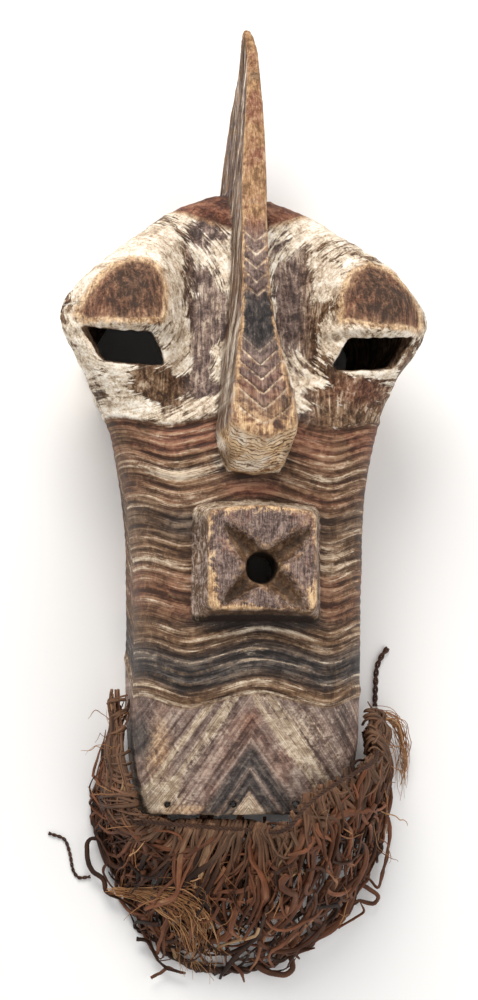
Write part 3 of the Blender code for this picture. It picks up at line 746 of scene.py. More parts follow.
def buildStrandTree():
    # flat fibres along guides: width, thickness, a fine wave and a thinning towards the free end
    n, given, out = newTree("fibre strands", "GeometryNodeTree", [
        ("Guides", "Geometry", None), ("Strand Width", "Float", 0.003), ("Strand Thickness", "Float", 0.001),
        ("Wave", "Float", 0.0008), ("Wave Size", "Float", 90.0), ("Sides", "Int", 6), ("Seed", "Float", 1.0),
        ("Material", "Material", None)], [("Geometry", "Geometry")])
    curve = n.add("GeometryNodeMeshToCurve", {"Mesh": given["Guides"]}).outputs["Curve"]
    smooth = n.add("GeometryNodeSetCurveNormal", {"Curve": curve}, mode="Z_UP").outputs["Curve"]
    along = n.add("GeometryNodeSplineParameter").outputs
    noise = unevenness(n, given["Wave Size"], given["Seed"])["Color"]
    offset = n.scaled(n.vectorMath("SUBTRACT", noise, (0.5, 0.5, 0.5)), given["Wave"])
    waved = n.add("GeometryNodeSetPosition", {"Geometry": smooth, "Offset": offset}).outputs["Geometry"]
    tilted = n.add("GeometryNodeSetCurveTilt",
                   {"Curve": waved, "Tilt": known(n, "strandTilt")}).outputs["Curve"]
    tail = n.add("ShaderNodeMapRange", {0: along["Factor"], 1: 0.72, 2: 1.0, 3: 1.0, 4: 0.45}).outputs[0]
    radius = n.times(tail, known(n, "strandSize"))
    sized = n.add("GeometryNodeSetCurveRadius", {"Curve": tilted, "Radius": radius}).outputs["Curve"]
    circle = n.add("GeometryNodeCurvePrimitiveCircle", {"Resolution": given["Sides"], "Radius": 0.5})
    size = n.vector(given["Strand Width"], given["Strand Thickness"], 1.0)
    flat = n.add("GeometryNodeTransform", {"Geometry": circle.outputs["Curve"], "Scale": size})
    sweep(n, out, stored(n, sized, "strandAlong", along["Length"]), flat.outputs["Geometry"],
          given["Material"])
    return n.tree


def buildRopeTree():
    # a laid rope: plies that wind round the guide, each a tube of its own
    n, given, out = newTree("laid rope", "GeometryNodeTree", [
        ("Guides", "Geometry", None), ("Plies", "Int", 3), ("Rope Radius", "Float", 0.003),
        ("Twist Length", "Float", 0.014), ("Spacing", "Float", 0.0016), ("Sides", "Int", 7),
        ("Seed", "Float", 1.0), ("Material", "Material", None)], [("Geometry", "Geometry")])
    curve = n.add("GeometryNodeMeshToCurve", {"Mesh": given["Guides"]}).outputs["Curve"]
    even = n.add("GeometryNodeResampleCurve", {"Curve": curve, "Length": given["Spacing"]}, mode="LENGTH")
    level = n.add("GeometryNodeSetCurveNormal", {"Curve": even.outputs["Curve"]},
                  mode="Z_UP").outputs["Curve"]
    length = n.add("GeometryNodeSplineParameter").outputs["Length"]
    plies = n.add("GeometryNodeDuplicateElements", {"Geometry": stored(n, level, "strandAlong", length),
                                                    "Amount": given["Plies"]}, domain="SPLINE").outputs
    share = n.math("DIVIDE", plies["Duplicate Index"], given["Plies"])
    numbered = stored(n, plies["Geometry"], "plyShare", share)
    wound = n.math("DIVIDE", known(n, "strandAlong"), given["Twist Length"])
    angle = n.math("ADD", n.times(wound, 2 * math.pi), n.times(known(n, "plyShare"), 2 * math.pi))
    tangent = n.add("GeometryNodeInputTangent").outputs[0]
    normal = n.add("GeometryNodeInputNormal").outputs[0]
    binormal = n.vectorMath("CROSS_PRODUCT", tangent, normal)
    reach = n.times(given["Rope Radius"], 0.5)
    parts = [n.scaled(direction, n.times(n.math(how, angle), reach))
             for how, direction in (("COSINE", normal), ("SINE", binormal))]
    offset = n.vectorMath("ADD", *parts)
    noise = unevenness(n, 160.0, given["Seed"])["Fac"]
    laid = n.add("GeometryNodeSetPosition", {"Geometry": numbered, "Offset": offset}).outputs["Geometry"]
    uneven = n.add("ShaderNodeMapRange", {0: noise, 1: 0.25, 2: 0.75, 3: 0.85, 4: 1.12}).outputs[0]
    sized = n.add("GeometryNodeSetCurveRadius", {"Curve": laid, "Radius": uneven}).outputs["Curve"]
    circle = n.add("GeometryNodeCurvePrimitiveCircle",
                   {"Resolution": given["Sides"], "Radius": n.times(given["Rope Radius"], 0.46)})
    sweep(n, out, sized, circle.outputs["Curve"], given["Material"])
    return n.tree


def grown(guides, tree, name, values):
    # runs the tree on the guides, and keeps the result as a plain mesh of its own
    modifier = guides.modifiers.new(tree.name, "NODES")
    modifier.node_group = tree
    sockets = {item.name: item.identifier for item in tree.interface.items_tree if item.in_out == "INPUT"}
    for label, value in values.items():
        modifier[sockets[label]] = value
    mesh = evaluatedMesh(guides, name)
    guides.modifiers.clear()
    bpy.data.objects.remove(guides)
    piece = meshObject(name, mesh)
    print(f"{name}: {sum(len(p.vertices) - 2 for p in mesh.polygons)} triangles")
    return piece


def buildFibreMaterial(name, tones, collar, roughness):
    # dried fibre: each strand has its own tone, with fine lines along it
    material = bpy.data.materials.new(name)
    material.use_nodes = True
    n = Nodes(material.node_tree)
    shader = n.tree.nodes["Principled BSDF"].inputs
    tone, along, around = (n.guide(key) for key in ("strandTone", "strandAlong", "strandAround"))
    vector = n.vector(along, n.times(around, 0.012), n.times(tone, 0.9))
    streaks = n.use(brushStreaks, {"Vector": vector, "Scale": 0.8})
    value = n.jittered(tone, streaks["Streak"], 0.9)
    patches = n.math("SUBTRACT", n.noise(n.objectPlace(), 38.0, 3.0), 0.5)
    value = n.math("ADD", value, n.times(patches, 0.8), clamp=True)
    colour = n.ramp(value, tones)
    if collar:
        near = n.ranged(along, 0.012, 0.06, 0.75, 0.0)
        faded = n.ramp(streaks["Streak"], ((0.3, collar[0]), (0.7, collar[1])))
        colour = n.blended(near, colour, faded)
    dark = n.ranged(streaks["Grain"], 0.3, 0.55, 0.55, 1.0)
    shade = n.add("ShaderNodeCombineColor", {0: dark, 1: dark, 2: dark}).outputs[0]
    n.feed(shader["Base Color"], n.blended(1.0, colour, shade, "MULTIPLY"))
    n.feed(shader["Roughness"], n.ranged(streaks["Streak"], 0.2, 0.8, *roughness))
    shader["Specular IOR Level"].default_value = 0.28
    bump = n.add("ShaderNodeBump", {"Height": streaks["Streak"], "Strength": 0.5, "Distance": 0.0006})
    n.feed(shader["Normal"], bump.outputs["Normal"])
    return material


fibreTones = {
    "strands": ((0.02, (0.02, 0.008, 0.004)), (0.28, (0.065, 0.024, 0.011)), (0.5, (0.15, 0.054, 0.024)),
                (0.7, (0.25, 0.088, 0.04)), (0.86, (0.33, 0.16, 0.078)), (1.0, (0.5, 0.32, 0.17))),
    "collar": ((0.06, 0.027, 0.014), (0.33, 0.185, 0.108)),
    "rope": ((0.1, (0.014, 0.006, 0.004)), (0.45, (0.05, 0.022, 0.013)), (0.75, (0.12, 0.058, 0.033)),
             (1.0, (0.24, 0.14, 0.085))),
    "pale": ((0.0, (0.17, 0.065, 0.024)), (0.5, (0.42, 0.2, 0.08)), (1.0, (0.64, 0.38, 0.19))),
}

strandTree = buildStrandTree()
ropeTree = buildRopeTree()
strandMaterial = buildFibreMaterial("driedFibre", fibreTones["strands"], None, (0.5, 0.74))
collarMaterial = buildFibreMaterial("driedFibreFaded", fibreTones["strands"], fibreTones["collar"],
                                    (0.6, 0.8))
ropeMaterial = buildFibreMaterial("twistedFibre", fibreTones["rope"], None, (0.55, 0.78))
paleMaterial = buildFibreMaterial("fineFibre", fibreTones["pale"], None, (0.55, 0.75))


def ropeAlong(name, route, radius, twist, plies=3, spacing=0.0016):
    # route is in the row frame already
    guide = guideObject(name + "Guide", [np.asarray(route) - rowShift], [0.5], [1.0],
                        [np.zeros(len(route))])
    return grown(guide, ropeTree, name, {"Rope Radius": radius, "Twist Length": twist, "Plies": plies,
                                         "Spacing": spacing, "Material": ropeMaterial,
                                         "Seed": float(len(route))})


def buildLooseEnds():
    for side, values in looseEnds.items():
        radius = values["radius"]
        route = smoothRoute([(x, y, radius) for x, y in values["points"]], 24) + rowShift
        piece = ropeAlong("looseEnd" + side.capitalize(), route, radius, radius * 5.5, 2, radius * 0.5)
        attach(piece, "root")
        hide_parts("loose_end_" + side)


buildLooseEnds()


# The carved mask

maskShape = {
    "bodyTop": 0.508,
    "widest": ((0.0, 0.08), (0.055, 0.0905), (0.11, 0.091), (0.17, 0.092), (0.235, 0.097), (0.3, 0.111),
               (0.345, 0.1255), (0.378, 0.1455), (0.39, 0.1485), (0.402, 0.146), (0.414, 0.1385),
               (0.428, 0.126), (0.4425, 0.111), (0.4556, 0.0955), (0.4695, 0.079), (0.483, 0.065),
               (0.4987, 0.0385), (0.508, 0.012)),
    "widestHeight": ((0.0, 0.07), (0.1, 0.08), (0.24, 0.086), (0.32, 0.108), (0.388, 0.134),
                     (0.44, 0.104), (0.508, 0.058)),
    "frontHeight": ((0.0, 0.116), (0.05, 0.13), (0.098, 0.147), (0.17, 0.151), (0.26, 0.15),
                    (0.34, 0.143), (0.4, 0.136), (0.45, 0.126), (0.485, 0.108), (0.508, 0.076)),
    "rimTuck": ((0.0, 0.001), (0.24, 0.003), (0.33, 0.014), (0.388, 0.027), (0.44, 0.016), (0.508, 0.002)),
    "centreLine": ((0.0, 0.009), (0.17, 0.0085), (0.235, 0.006), (0.29, 0.003), (0.316, 0.0),
                   (0.35, -0.0015), (0.375, -0.0005), (0.44, 0.002), (0.508, 0.0015)),
    "sideSquareness": 0.72, "frontSquareness": 0.8,
    "wall": 0.013, "cavityTop": 0.47, "cavityOverrun": 0.03,
    "browLevel": 0.377, "browStep": 0.004, "eyeBulge": 0.034, "bulgeBelowLid": 0.64,
    "bulgeInner": (0.038, 0.079), "bulgeOuter": (0.112, 0.152), "bulgeTop": 0.5, "bulgeBottom": 0.298,
    "valleyDepth": 0.011, "valleyAt": 0.044, "valleyHalf": 0.024,
    "slotCorners": ((0.078, 0.3735), (0.134, 0.3755), (0.116, 0.348), (0.0655, 0.3455)),
    "slotFaceZ": 0.16, "slotSlant": 0.3, "slotTopZ": 0.2, "slotLowZ": 0.1,
    "slotTaperFrom": 0.147, "slotTaperDepth": 0.013,
    "slotTaper": {-1: ((0.0, 0.0), (0.006, 0.0), (0.02, 0.002), (0.0, 0.0)),
                  1: ((0.0, 0.0), (0.004, 0.0), (0.015, 0.008), (0.002, 0.007))},
    "stripesFrom": 0.089, "stripesTo": 0.302, "stripePitch": 0.0082, "grooveDepth": 0.0015,
    "centreRise": 0.015, "centreRiseHalf": 0.042, "sideRise": 0.014, "wallRise": 0.03, "zoneStep": 0.0022,
    "voxel": 0.00185, "triangles": 194000, "keepOutside": 0.0008, "rimBand": 0.0022,
    # a patch without stripes, between nose and mouth
    "plainAt": (0.0045, 0.2535), "plainHalf": (0.022, 0.0095),
}

bladeShape = {
    "tip": 0.286, "foot": 0.263, "top": 0.638,
    "half": ((0.263, 0.0205), (0.2745, 0.025), (0.286, 0.027), (0.305, 0.024), (0.34, 0.0178),
             (0.387, 0.012), (0.43, 0.0104), (0.49, 0.0103), (0.525, 0.0092), (0.57, 0.007),
             (0.61, 0.0052), (0.63, 0.0046), (0.638, 0.0028)),
    "front": ((0.263, 0.156), (0.2745, 0.186), (0.286, 0.204), (0.305, 0.203), (0.34, 0.197),
              (0.387, 0.185), (0.43, 0.174), (0.49, 0.16), (0.57, 0.142), (0.61, 0.127), (0.63, 0.117),
              (0.638, 0.109)),
    "rear": ((0.263, 0.105), (0.42, 0.094), (0.46, 0.056), (0.505, 0.048), (0.576, 0.062),
             (0.618, 0.088), (0.63, 0.098), (0.638, 0.105)),
    "spread": ((0.263, 0.004), (0.34, 0.006), (0.43, 0.004), (0.49, 0.0), (0.638, -0.0006)),
    "line": ((0.263, 0.003), (0.305, 0.0028), (0.355, 0.0005), (0.44, 0.0015), (0.49, 0.003),
             (0.525, 0.0044), (0.57, 0.006), (0.61, 0.007), (0.638, 0.0045)),
    "turn": 0.03, "edgeCut": 0.002, "flutes": 3, "fluteDepth": 0.0013, "flutesFrom": 0.44,
    "chevronPitch": 0.0115, "chevronDepth": 0.0014,
    "noseChevrons": (0.297, 0.352), "browChevrons": (0.402, 0.446), "slopeTo": 0.33,
    "nostrilMiddle": 0.001, "nostrilOut": 0.02, "nostrilRadii": (0.003, 0.001),
}

mouthShape = {
    "at": (0.006, 0.194), "halfWidth": 0.0425, "halfHeight": 0.038, "arch": 0.005,
    "front": 0.179, "foot": 0.13, "flare": 0.014, "corner": 0.006,
    "starAt": (0.0066, 0.1895), "holeRadius": 0.0122,
    # petals: (angle, reach, widest, where widest, tip half width)
    "petals": ((133, 0.0465, 0.0108, 0.32, 0.0026), (38, 0.05, 0.01, 0.34, 0.005),
               (-44, 0.049, 0.0112, 0.36, 0.0052), (-137, 0.047, 0.01, 0.32, 0.0024)),
    "petalDepth": 0.0135, "bowlDepth": 0.0128, "bowlRadii": (0.012, 0.016),
}

chinShape = {
    "middle": 0.0045, "slopeLeft": 1.5, "slopeRight": 1.3, "top": 0.08,
    # cuts of the nested Vs, below 0 for a ridge: (height along the slope, half width, depth)
    "grooves": ((0.1335, 0.0024, -0.0009), (0.116, 0.0018, 0.0006), (0.1, 0.0016, 0.0006),
                (0.08, 0.0016, 0.0005), (0.056, 0.002, 0.0009), (0.0362, 0.0022, -0.0008),
                (0.019, 0.0014, 0.0008)),
}

# sizes of the scoops that the carver's tools left, in metres along x, y and z
toolMarks = {"brow": (0.0075, 0.013, 0.013), "tip": (0.01, 0.01, 0.01), "hollow": (0.013, 0.024, 0.013)}

holeShape = {"radius": 0.003, "pitch": 0.0505, "first": -0.0575, "count": 3, "level": 0.008,
             "sideHeights": (0.03, 0.056)}

widest, widestHeight, frontHeight, rimTuck, centreLine = (
    curveThrough(maskShape[name]) for name in ("widest", "widestHeight", "frontHeight", "rimTuck",
                                               "centreLine"))
bladeHalf, bladeFront, bladeRear, bladeSpread, bladeLine = (
    curveThrough(bladeShape[name]) for name in ("half", "front", "rear", "spread", "line"))


def rowBend(across, down, level):
    # how far a stripe rises above its level: mid-face, at the sides and down the walls
    s = maskShape
    middle = np.exp(-((across * widest(level)) / s["centreRiseHalf"]) ** 2)
    middleShare = ease(0.0, s["stripesFrom"], level) * (1 - ease(s["stripesTo"], s["browLevel"], level))
    sideShare = ease(0.0, s["stripesFrom"], level)
    sideShare = sideShare * (1 - ease(s["stripesTo"] - 0.03, s["browLevel"] - 0.02, level))
    side = s["sideRise"] * ease(0.55, 1.0, np.abs(across)) + s["wallRise"] * down
    return s["centreRise"] * middle * middleShare + side * sideShare


def bulgeAcross(x):
    x = np.abs(x)
    return ease(*maskShape["bulgeInner"], x) * (1 - ease(*maskShape["bulgeOuter"], x))


def bulgeAlong(level):
    s = maskShape
    below = s["bulgeBelowLid"] * ease(s["bulgeBottom"], s["browLevel"] - s["browStep"], level)
    lid = (1 - s["bulgeBelowLid"]) * ease(s["browLevel"] - s["browStep"], s["browLevel"], level)
    rise = np.clip((level - s["browLevel"]) / (s["bulgeTop"] - s["browLevel"]), 0.0, 1.0)
    return (below + lid) * (1 - rise ** 1.5)


def valley(x, level):
    s = maskShape
    beside = np.exp(-((np.abs(x) - s["valleyAt"]) / s["valleyHalf"]) ** 2)
    along = ease(s["stripesTo"], s["browLevel"] - 0.02, level) * (1 - ease(0.43, s["bulgeTop"], level))
    return s["valleyDepth"] * beside * along


def outerRelief(x, level):
    s = maskShape
    step = s["zoneStep"] * ease(s["stripesTo"], s["stripesTo"] + 0.004, level)
    return s["eyeBulge"] * bulgeAcross(x) * bulgeAlong(level) - valley(x, level) + step


def cavityRelief(x, level):
    s = maskShape
    along = ease(s["bulgeBottom"], s["browLevel"] - 0.025, level)
    along = along * (1 - ease(s["browLevel"] + 0.02, s["bulgeTop"], level))
    return s["eyeBulge"] * s["bulgeBelowLid"] * bulgeAcross(x) * along - valley(x, level)


def sectionAt(level, inset, relief, foot, wallSteps, frontSteps):
    # the closed section at a level: up the right side, over the face and down the left side
    s = maskShape
    shown = min(max(level, 0.0), s["bodyTop"])
    ahead = min(shown + inset, s["bodyTop"])
    width = min(widest(shown), widest(ahead)) - inset
    front = min(frontHeight(shown), frontHeight(ahead)) - inset
    wideAt = min(widestHeight(shown), widestHeight(ahead), front - 0.005)
    tuck = min(rimTuck(shown), width * 0.5)
    share = np.linspace(0.0, 1.0, wallSteps + 1)
    angle = np.linspace(0.0, math.pi / 2, frontSteps + 1)[1:]
    across = np.abs(np.cos(angle)) ** s["sideSquareness"]
    across[-1] = 0.0
    frontX = width * across
    frontZ = wideAt + (front - wideAt) * np.sin(angle) ** s["frontSquareness"]
    frontZ = frontZ + relief(frontX, level) * ease(0.0, 0.35, angle)
    x = np.concatenate([width - tuck * np.cos(share * math.pi / 2), frontX])
    z = np.concatenate([wideAt * share - foot * (1 - share), frontZ])
    bend = rowBend(np.concatenate([np.ones(len(share)), across]),
                   np.concatenate([1 - share, np.zeros(len(angle))]), level)
    right = np.stack([x, level + bend, z], axis=1)
    left = right[-2::-1] * np.array([-1.0, 1.0, 1.0])
    return np.concatenate([right, left]) + np.array([float(centreLine(level)), 0.0, 0.0])


def bladeSection(level):
    # nose or crest: a slightly crowned front edge, plain sides and the rear edge
    b = bladeShape
    half, front, rear = float(bladeHalf(level)), float(bladeFront(level)), float(bladeRear(level))
    cut = min(b["edgeCut"], half * 0.5)
    slope = noseSlope(level) * (1 - ease(0.44, 0.48, level))
    points = [(half * share, half * share, front + 0.0012 * (1 - share ** 2)) for share in (0, 0.2, 0.4, 0.6,
                                                                                            0.8)]
    points += [(half - cut, half - cut, front), (half - cut * 0.3, half, front - cut * 0.3),
               (half, half, front - cut)]
    for share in np.linspace(0.0, 1.0, 13)[1:-1]:
        points.append((half + float(bladeSpread(level)) * share, half,
                       front - cut + (rear + 2 * cut - front) * share))
    wide = half + float(bladeSpread(level))
    points += [(wide, half, rear + cut), (wide - cut * 0.4, half, rear + cut * 0.4), (wide - cut, half, rear)]
    ring = [(x, level + float(slope) * bend, z) for x, bend, z in points]
    ring += [(-x, y, z) for x, y, z in reversed(ring[1:])]
    turn = b["turn"] * float(ease(0.42, 0.49, level))
    return [(x + float(bladeLine(level)) - turn * (front - z), y, z) for x, y, z in ring]


def mouthOutline(grow):
    m = mouthShape
    wide, tall, corner = m["halfWidth"] + grow, m["halfHeight"] + grow, m["corner"]
    points = []
    for number, (sx, sy) in enumerate(((1, 1), (-1, 1), (-1, -1), (1, -1))):
        for step in range(7):
            angle = math.pi / 2 * (number + step / 6)
            points.append((sx * (wide - corner) + corner * math.cos(angle),
                           sy * (tall - corner) + corner * math.sin(angle)))
        ahead = ((-1, 0), (0, -1), (1, 0), (0, 1))[number]
        here = points[-1]
        run = 2 * ((wide if ahead[0] else tall) - corner)
        points += [(here[0] + ahead[0] * run * share, here[1] + ahead[1] * run * share)
                   for share in np.linspace(0, 1, 9)[1:-1]]
    return [(x, y + m["arch"] * (1 - (x / wide) ** 2) * (y > 0)) for x, y in points]


def mouthBlock():
    m = mouthShape
    heights = [(m["foot"] + (m["front"] - 0.002 - m["foot"]) * t, m["flare"] * (1 - t) ** 1.25)
               for t in np.linspace(0, 1, 9)] + [(m["front"], -0.002)]
    rings = [[(x + m["at"][0], y + m["at"][1], z) for x, y in mouthOutline(grow)] for z, grow in heights]
    return loft("mouth block", rings)


def petalCutter(angle, reach, wide, wideAt, tip):
    # a leaf scooped out of the block's front, deepest at the hole
    m = mouthShape
    along = Vector((math.cos(math.radians(angle)), math.sin(math.radians(angle)), 0.0))
    aside = Vector((-along.y, along.x, 0.0))
    start = Vector((*m["starAt"], m["front"]))
    rings = []
    for t in np.linspace(0.0, 1.0, 15):
        place = 0.002 + (reach - 0.002) * t
        before, beyond = max(wideAt - t, 0.0) / wideAt, max(t - wideAt, 0.0) / (1 - wideAt)
        half = (tip + (wide - tip) * (1 - beyond) ** 0.85) * (1 - 0.15 * before)
        deep = m["petalDepth"] * (1 - t) ** 0.62 + 0.0012
        ring = []
        for b in np.linspace(-1.0, 1.0, 11):
            ring.append(start + along * place + aside * half * b - Vector((0, 0, deep * (1 - abs(b) ** 1.7))))
        ring += [start + along * place + aside * half * b * 1.25 + Vector((0, 0, 0.01)) for b in (1.0, 0.0,
                                                                                                  -1.0)]
        rings.append(ring)
    return loft("petal", rings)


def rodCutter(name, start, end, radius, segments=20, radiusEnd=None):
    bm = bmesh.new()
    axis = Vector(end) - Vector(start)
    turned = axis.to_track_quat("Z", "Y").to_matrix().to_4x4()
    place = Matrix.Translation((Vector(start) + Vector(end)) / 2) @ turned
    bmesh.ops.create_cone(bm, cap_ends=True, segments=segments, radius1=radius,
                          radius2=radius if radiusEnd is None else radiusEnd, depth=axis.length, matrix=place)
    return meshObject(name, meshFrom(bm, name))


def slotCutter(side):
    s = maskShape
    rings = []
    for z in np.linspace(s["slotLowZ"], s["slotTopZ"], 26):
        # the opening rises with depth, and its lower and outer walls lean in
        rise = s["slotSlant"] * (s["slotFaceZ"] - z)
        taper = float(np.clip((s["slotTaperFrom"] - z) / s["slotTaperDepth"], 0, 1))
        corners = [Vector((x - taper * dx, y + taper * dy))
                   for (x, y), (dx, dy) in zip(s["slotCorners"], s["slotTaper"][side])]
        ring = []
        for i, corner in enumerate(corners):
            before, after = corners[i - 1], corners[(i + 1) % 4]
            a = corner + (before - corner).normalized() * 0.003
            b = corner + (after - corner).normalized() * 0.003
            ring += [a, (a + b + corner * 2) / 4, b, (b * 2 + (after - corner) / 2 + corner) / 3]
        rings.append([(side * p.x, p.y + rise, z) for p in ring])
    return loft("slot", rings)


def faceHeight(across, level):
    # height of the outer face without its relief, and the angle round the section
    angle = np.arccos(np.clip(across, 0.0, 1.0) ** (1 / maskShape["sideSquareness"]))
    low = widestHeight(level)
    return low + (frontHeight(level) - low) * np.sin(angle) ** maskShape["frontSquareness"], angle


def carve(target, cutter, operation):
    modifier = target.modifiers.new(operation.lower(), "BOOLEAN")
    modifier.operation = operation
    modifier.solver = "EXACT"
    modifier.object = cutter


def roughMask():
    # every form joined and cut, as one closed mesh of even small faces
    s, b, m, h = maskShape, bladeShape, mouthShape, holeShape
    levels = [*np.linspace(0.0, s["stripesTo"], 64),
              *np.linspace(s["stripesTo"], s["browLevel"] - s["browStep"], 24)[1:],
              *np.linspace(s["browLevel"], s["bulgeTop"], 36), s["bodyTop"]]
    body = loft("mask", [sectionAt(v, 0.0, outerRelief, 0.0, 6, 34) for v in levels])
    blade = loft("blade", [bladeSection(v) for v in np.linspace(b["foot"], b["top"], 90)])
    hollowLevels = [-s["cavityOverrun"], *np.linspace(0.0, 0.3, 16), *np.linspace(0.315, s["cavityTop"], 16)]
    hollow = loft("hollow", [sectionAt(v, s["wall"], cavityRelief, s["cavityOverrun"], 3, 18)
                             for v in hollowLevels])
    cutters = [petalCutter(*petal) for petal in m["petals"]]
    star, front = m["starAt"], m["front"]
    low, high = m["bowlRadii"]
    cutters.append(rodCutter("bowl", (*star, front - m["bowlDepth"]), (*star, front + 0.006), low, 32, high))
    cutters.append(rodCutter("mouth hole", (*star, 0.1), (*star, 0.2), m["holeRadius"], 32))
    cutters += [slotCutter(side) for side in (-1, 1)]
    for side in (-1, 1):
        x = b["nostrilMiddle"] + side * b["nostrilOut"]
        start, end = (x + side * 0.002, 0.28, 0.208), (x - side * 0.006, 0.29, 0.186)
        cutters.append(rodCutter("nostril", start, end, b["nostrilRadii"][0], 12, b["nostrilRadii"][1]))
    level = h["level"]
    for number in range(h["count"]):
        x = h["first"] + h["pitch"] * number
        z = float(faceHeight(abs(x - float(centreLine(level))) / float(widest(level)), level)[0])
        cutters.append(rodCutter("hole", (x, level, z - 0.03), (x, level, z + 0.02), h["radius"]))
    for side in (-1, 1):
        wall = side * float(widest(0.0)) + float(centreLine(0.0))
        cutters += [rodCutter("hole", (wall - 0.03, level, z), (wall + 0.03, level, z), h["radius"])
                    for z in h["sideHeights"]]
    cutters = [(blade, "UNION"), (mouthBlock(), "UNION")] + [(c, "DIFFERENCE") for c in [hollow] + cutters]
    for cutter, operation in cutters:
        carve(body, cutter, operation)
    remesh = body.modifiers.new("even faces", "REMESH")
    remesh.mode = "VOXEL"
    remesh.voxel_size = s["voxel"] * 1.0
    mesh = evaluatedMesh(body, "mask")
    for obj in [body] + [cutter for cutter, operation in cutters]:
        bpy.data.objects.remove(obj)
    return mesh


def outlineDistance(x, y, outline):
    # signed distance from a closed outline: above 0 inside it
    best = np.full(len(x), 1e9)
    inside = np.zeros(len(x), bool)
    for (ax, ay), (bx, by) in zip(outline, outline[1:] + outline[:1]):
        dx, dy = bx - ax, by - ay
        t = np.clip(((x - ax) * dx + (y - ay) * dy) / (dx * dx + dy * dy), 0, 1)
        best = np.minimum(best, np.hypot(x - ax - dx * t, y - ay - dy * t))
        crosses = (ay > y) != (by > y)
        safe = dy if abs(dy) > 1e-9 else 1e-9
        inside ^= crosses & (x < ax + dx * (y - ay) / safe)
    return np.where(inside, best, -best)


lidOutlines = (
    [(-0.129, 0.3815), (-0.135, 0.389), (-0.129, 0.401), (-0.1189, 0.4156), (-0.109, 0.425),
     (-0.0949, 0.432), (-0.081, 0.431), (-0.0719, 0.423), (-0.068, 0.41), (-0.069, 0.394),
     (-0.072, 0.3825), (-0.1, 0.38)],
    [(0.0715, 0.387), (0.0735, 0.409), (0.083, 0.4275), (0.099, 0.436), (0.114, 0.43),
     (0.1265, 0.417), (0.136, 0.4035), (0.1405, 0.391), (0.137, 0.384), (0.1, 0.382)],
)


def faceFields(points):
    # where each point lies on the mask: its stripe level, its place across, and what form it belongs to
    s, b, m = maskShape, bladeShape, mouthShape
    x, y, z = points.T
    level = np.clip(y, 0.0, s["bodyTop"])
    for _ in range(24):
        wideAt = widestHeight(level)
        across = np.clip(np.abs(x - centreLine(level)) / widest(level), 0.0, 1.0)
        onWall = ease(0.0, 0.004, wideAt - z)
        down = np.clip(1 - z / wideAt, 0.0, 1.0)
        across = across + (1 - across) * onWall
        level = np.clip(0.5 * level + 0.5 * (y - rowBend(across, down, level)), -0.01, s["bodyTop"])
    faceX = x - centreLine(level)
    across = np.clip(np.abs(faceX) / widest(level), 0.0, 1.0)
    faceZ, angle = faceHeight(across, level)
    faceZ = faceZ + outerRelief(faceX, level) * ease(0.0, 0.35, angle)
    above = z - faceZ
    tuck = np.minimum(rimTuck(level), widest(level) * 0.5)
    wallX = widest(level) - tuck * np.cos(np.clip(z / widestHeight(level), 0, 1) * math.pi / 2)
    depth = np.minimum(-above, np.where(z < widestHeight(level), wallX - np.abs(faceX), 1.0))
    inside = ease(0.3 * s["wall"], 0.65 * s["wall"], depth)

    front, rear, half = bladeFront(y), bladeRear(y), bladeHalf(y)
    bladeX = x - bladeLine(y) + b["turn"] * ease(0.42, 0.49, y) * (front - z)
    beside = np.abs(bladeX) - half - bladeSpread(y) * np.clip((front - z) / (front - rear), 0, 1)
    blade = (1 - ease(0.0015, 0.0035, beside)) * ease(b["foot"] - 0.006, b["foot"] - 0.002, y)
    blade = blade * np.maximum(ease(0.0006, 0.0025, above), ease(0.5, 0.506, y))
    inside = inside * (1 - blade) * (1 - ease(0.47, 0.48, y) * ease(0.02, 0.03, z))

    mx, my = x - m["at"][0], y - m["at"][1]
    grow = m["flare"] * np.clip((m["front"] - z) / (m["front"] - m["foot"]), 0, 1) ** 1.25
    arch = m["arch"] * (1 - np.clip(mx / (m["halfWidth"] + grow), -1, 1) ** 2) * (my > 0)
    outside = np.maximum(np.abs(mx) - m["halfWidth"] - grow, np.abs(my - arch) - m["halfHeight"] - grow)
    mouth = (1 - ease(0.001, 0.003, outside)) * ease(0.0004, 0.0022, above) * (z > 0.12)
    hole = np.hypot(x - m["starAt"][0], y - m["starAt"][1])
    inside = np.where((outside < 0) & (hole > m["holeRadius"] + 0.002) & (z > 0.152), 0.0, inside)
    return {"level": level, "faceX": faceX, "across": across, "above": above, "inside": inside,
            "blade": blade,
            "bladeX": bladeX, "mouth": mouth, "mouthX": mx, "mouthY": my, "hole": hole, "front": front,
            "rear": rear, "half": half, "down": np.clip(1 - z / widestHeight(level), 0, 1)}


def chinV(x, y):
    # the chin's inverted Vs: a point's height measured along their slope
    c = chinShape
    slope = np.where(x < c["middle"], c["slopeLeft"], c["slopeRight"])
    return y + slope * np.abs(x - c["middle"])


def noseSlope(y):
    # how steeply the chevrons fall away from the middle of nose and crest
    b = bladeShape
    return 0.15 + 0.25 * ease(b["foot"], b["tip"], y) + 0.5 * ease(b["tip"], b["slopeTo"], y)


def bladeRow(y, bladeX, half):
    return y - noseSlope(y) * np.minimum(np.abs(bladeX), half)


def ridgeWave(turns, sharpness=1.3):
    # 0 on a ridge's back, 1 in the groove between two ridges
    return (0.5 - 0.5 * np.cos(2 * math.pi * turns)) ** sharpness


def line(value, place, wide):
    # 1 on a place, fading over its width
    return np.exp(-((value - place) / wide) ** 2)


def lidDistance(x, y, down):
    return np.maximum(*(outlineDistance(x, y, outline) for outline in lidOutlines)) - 0.3 * down


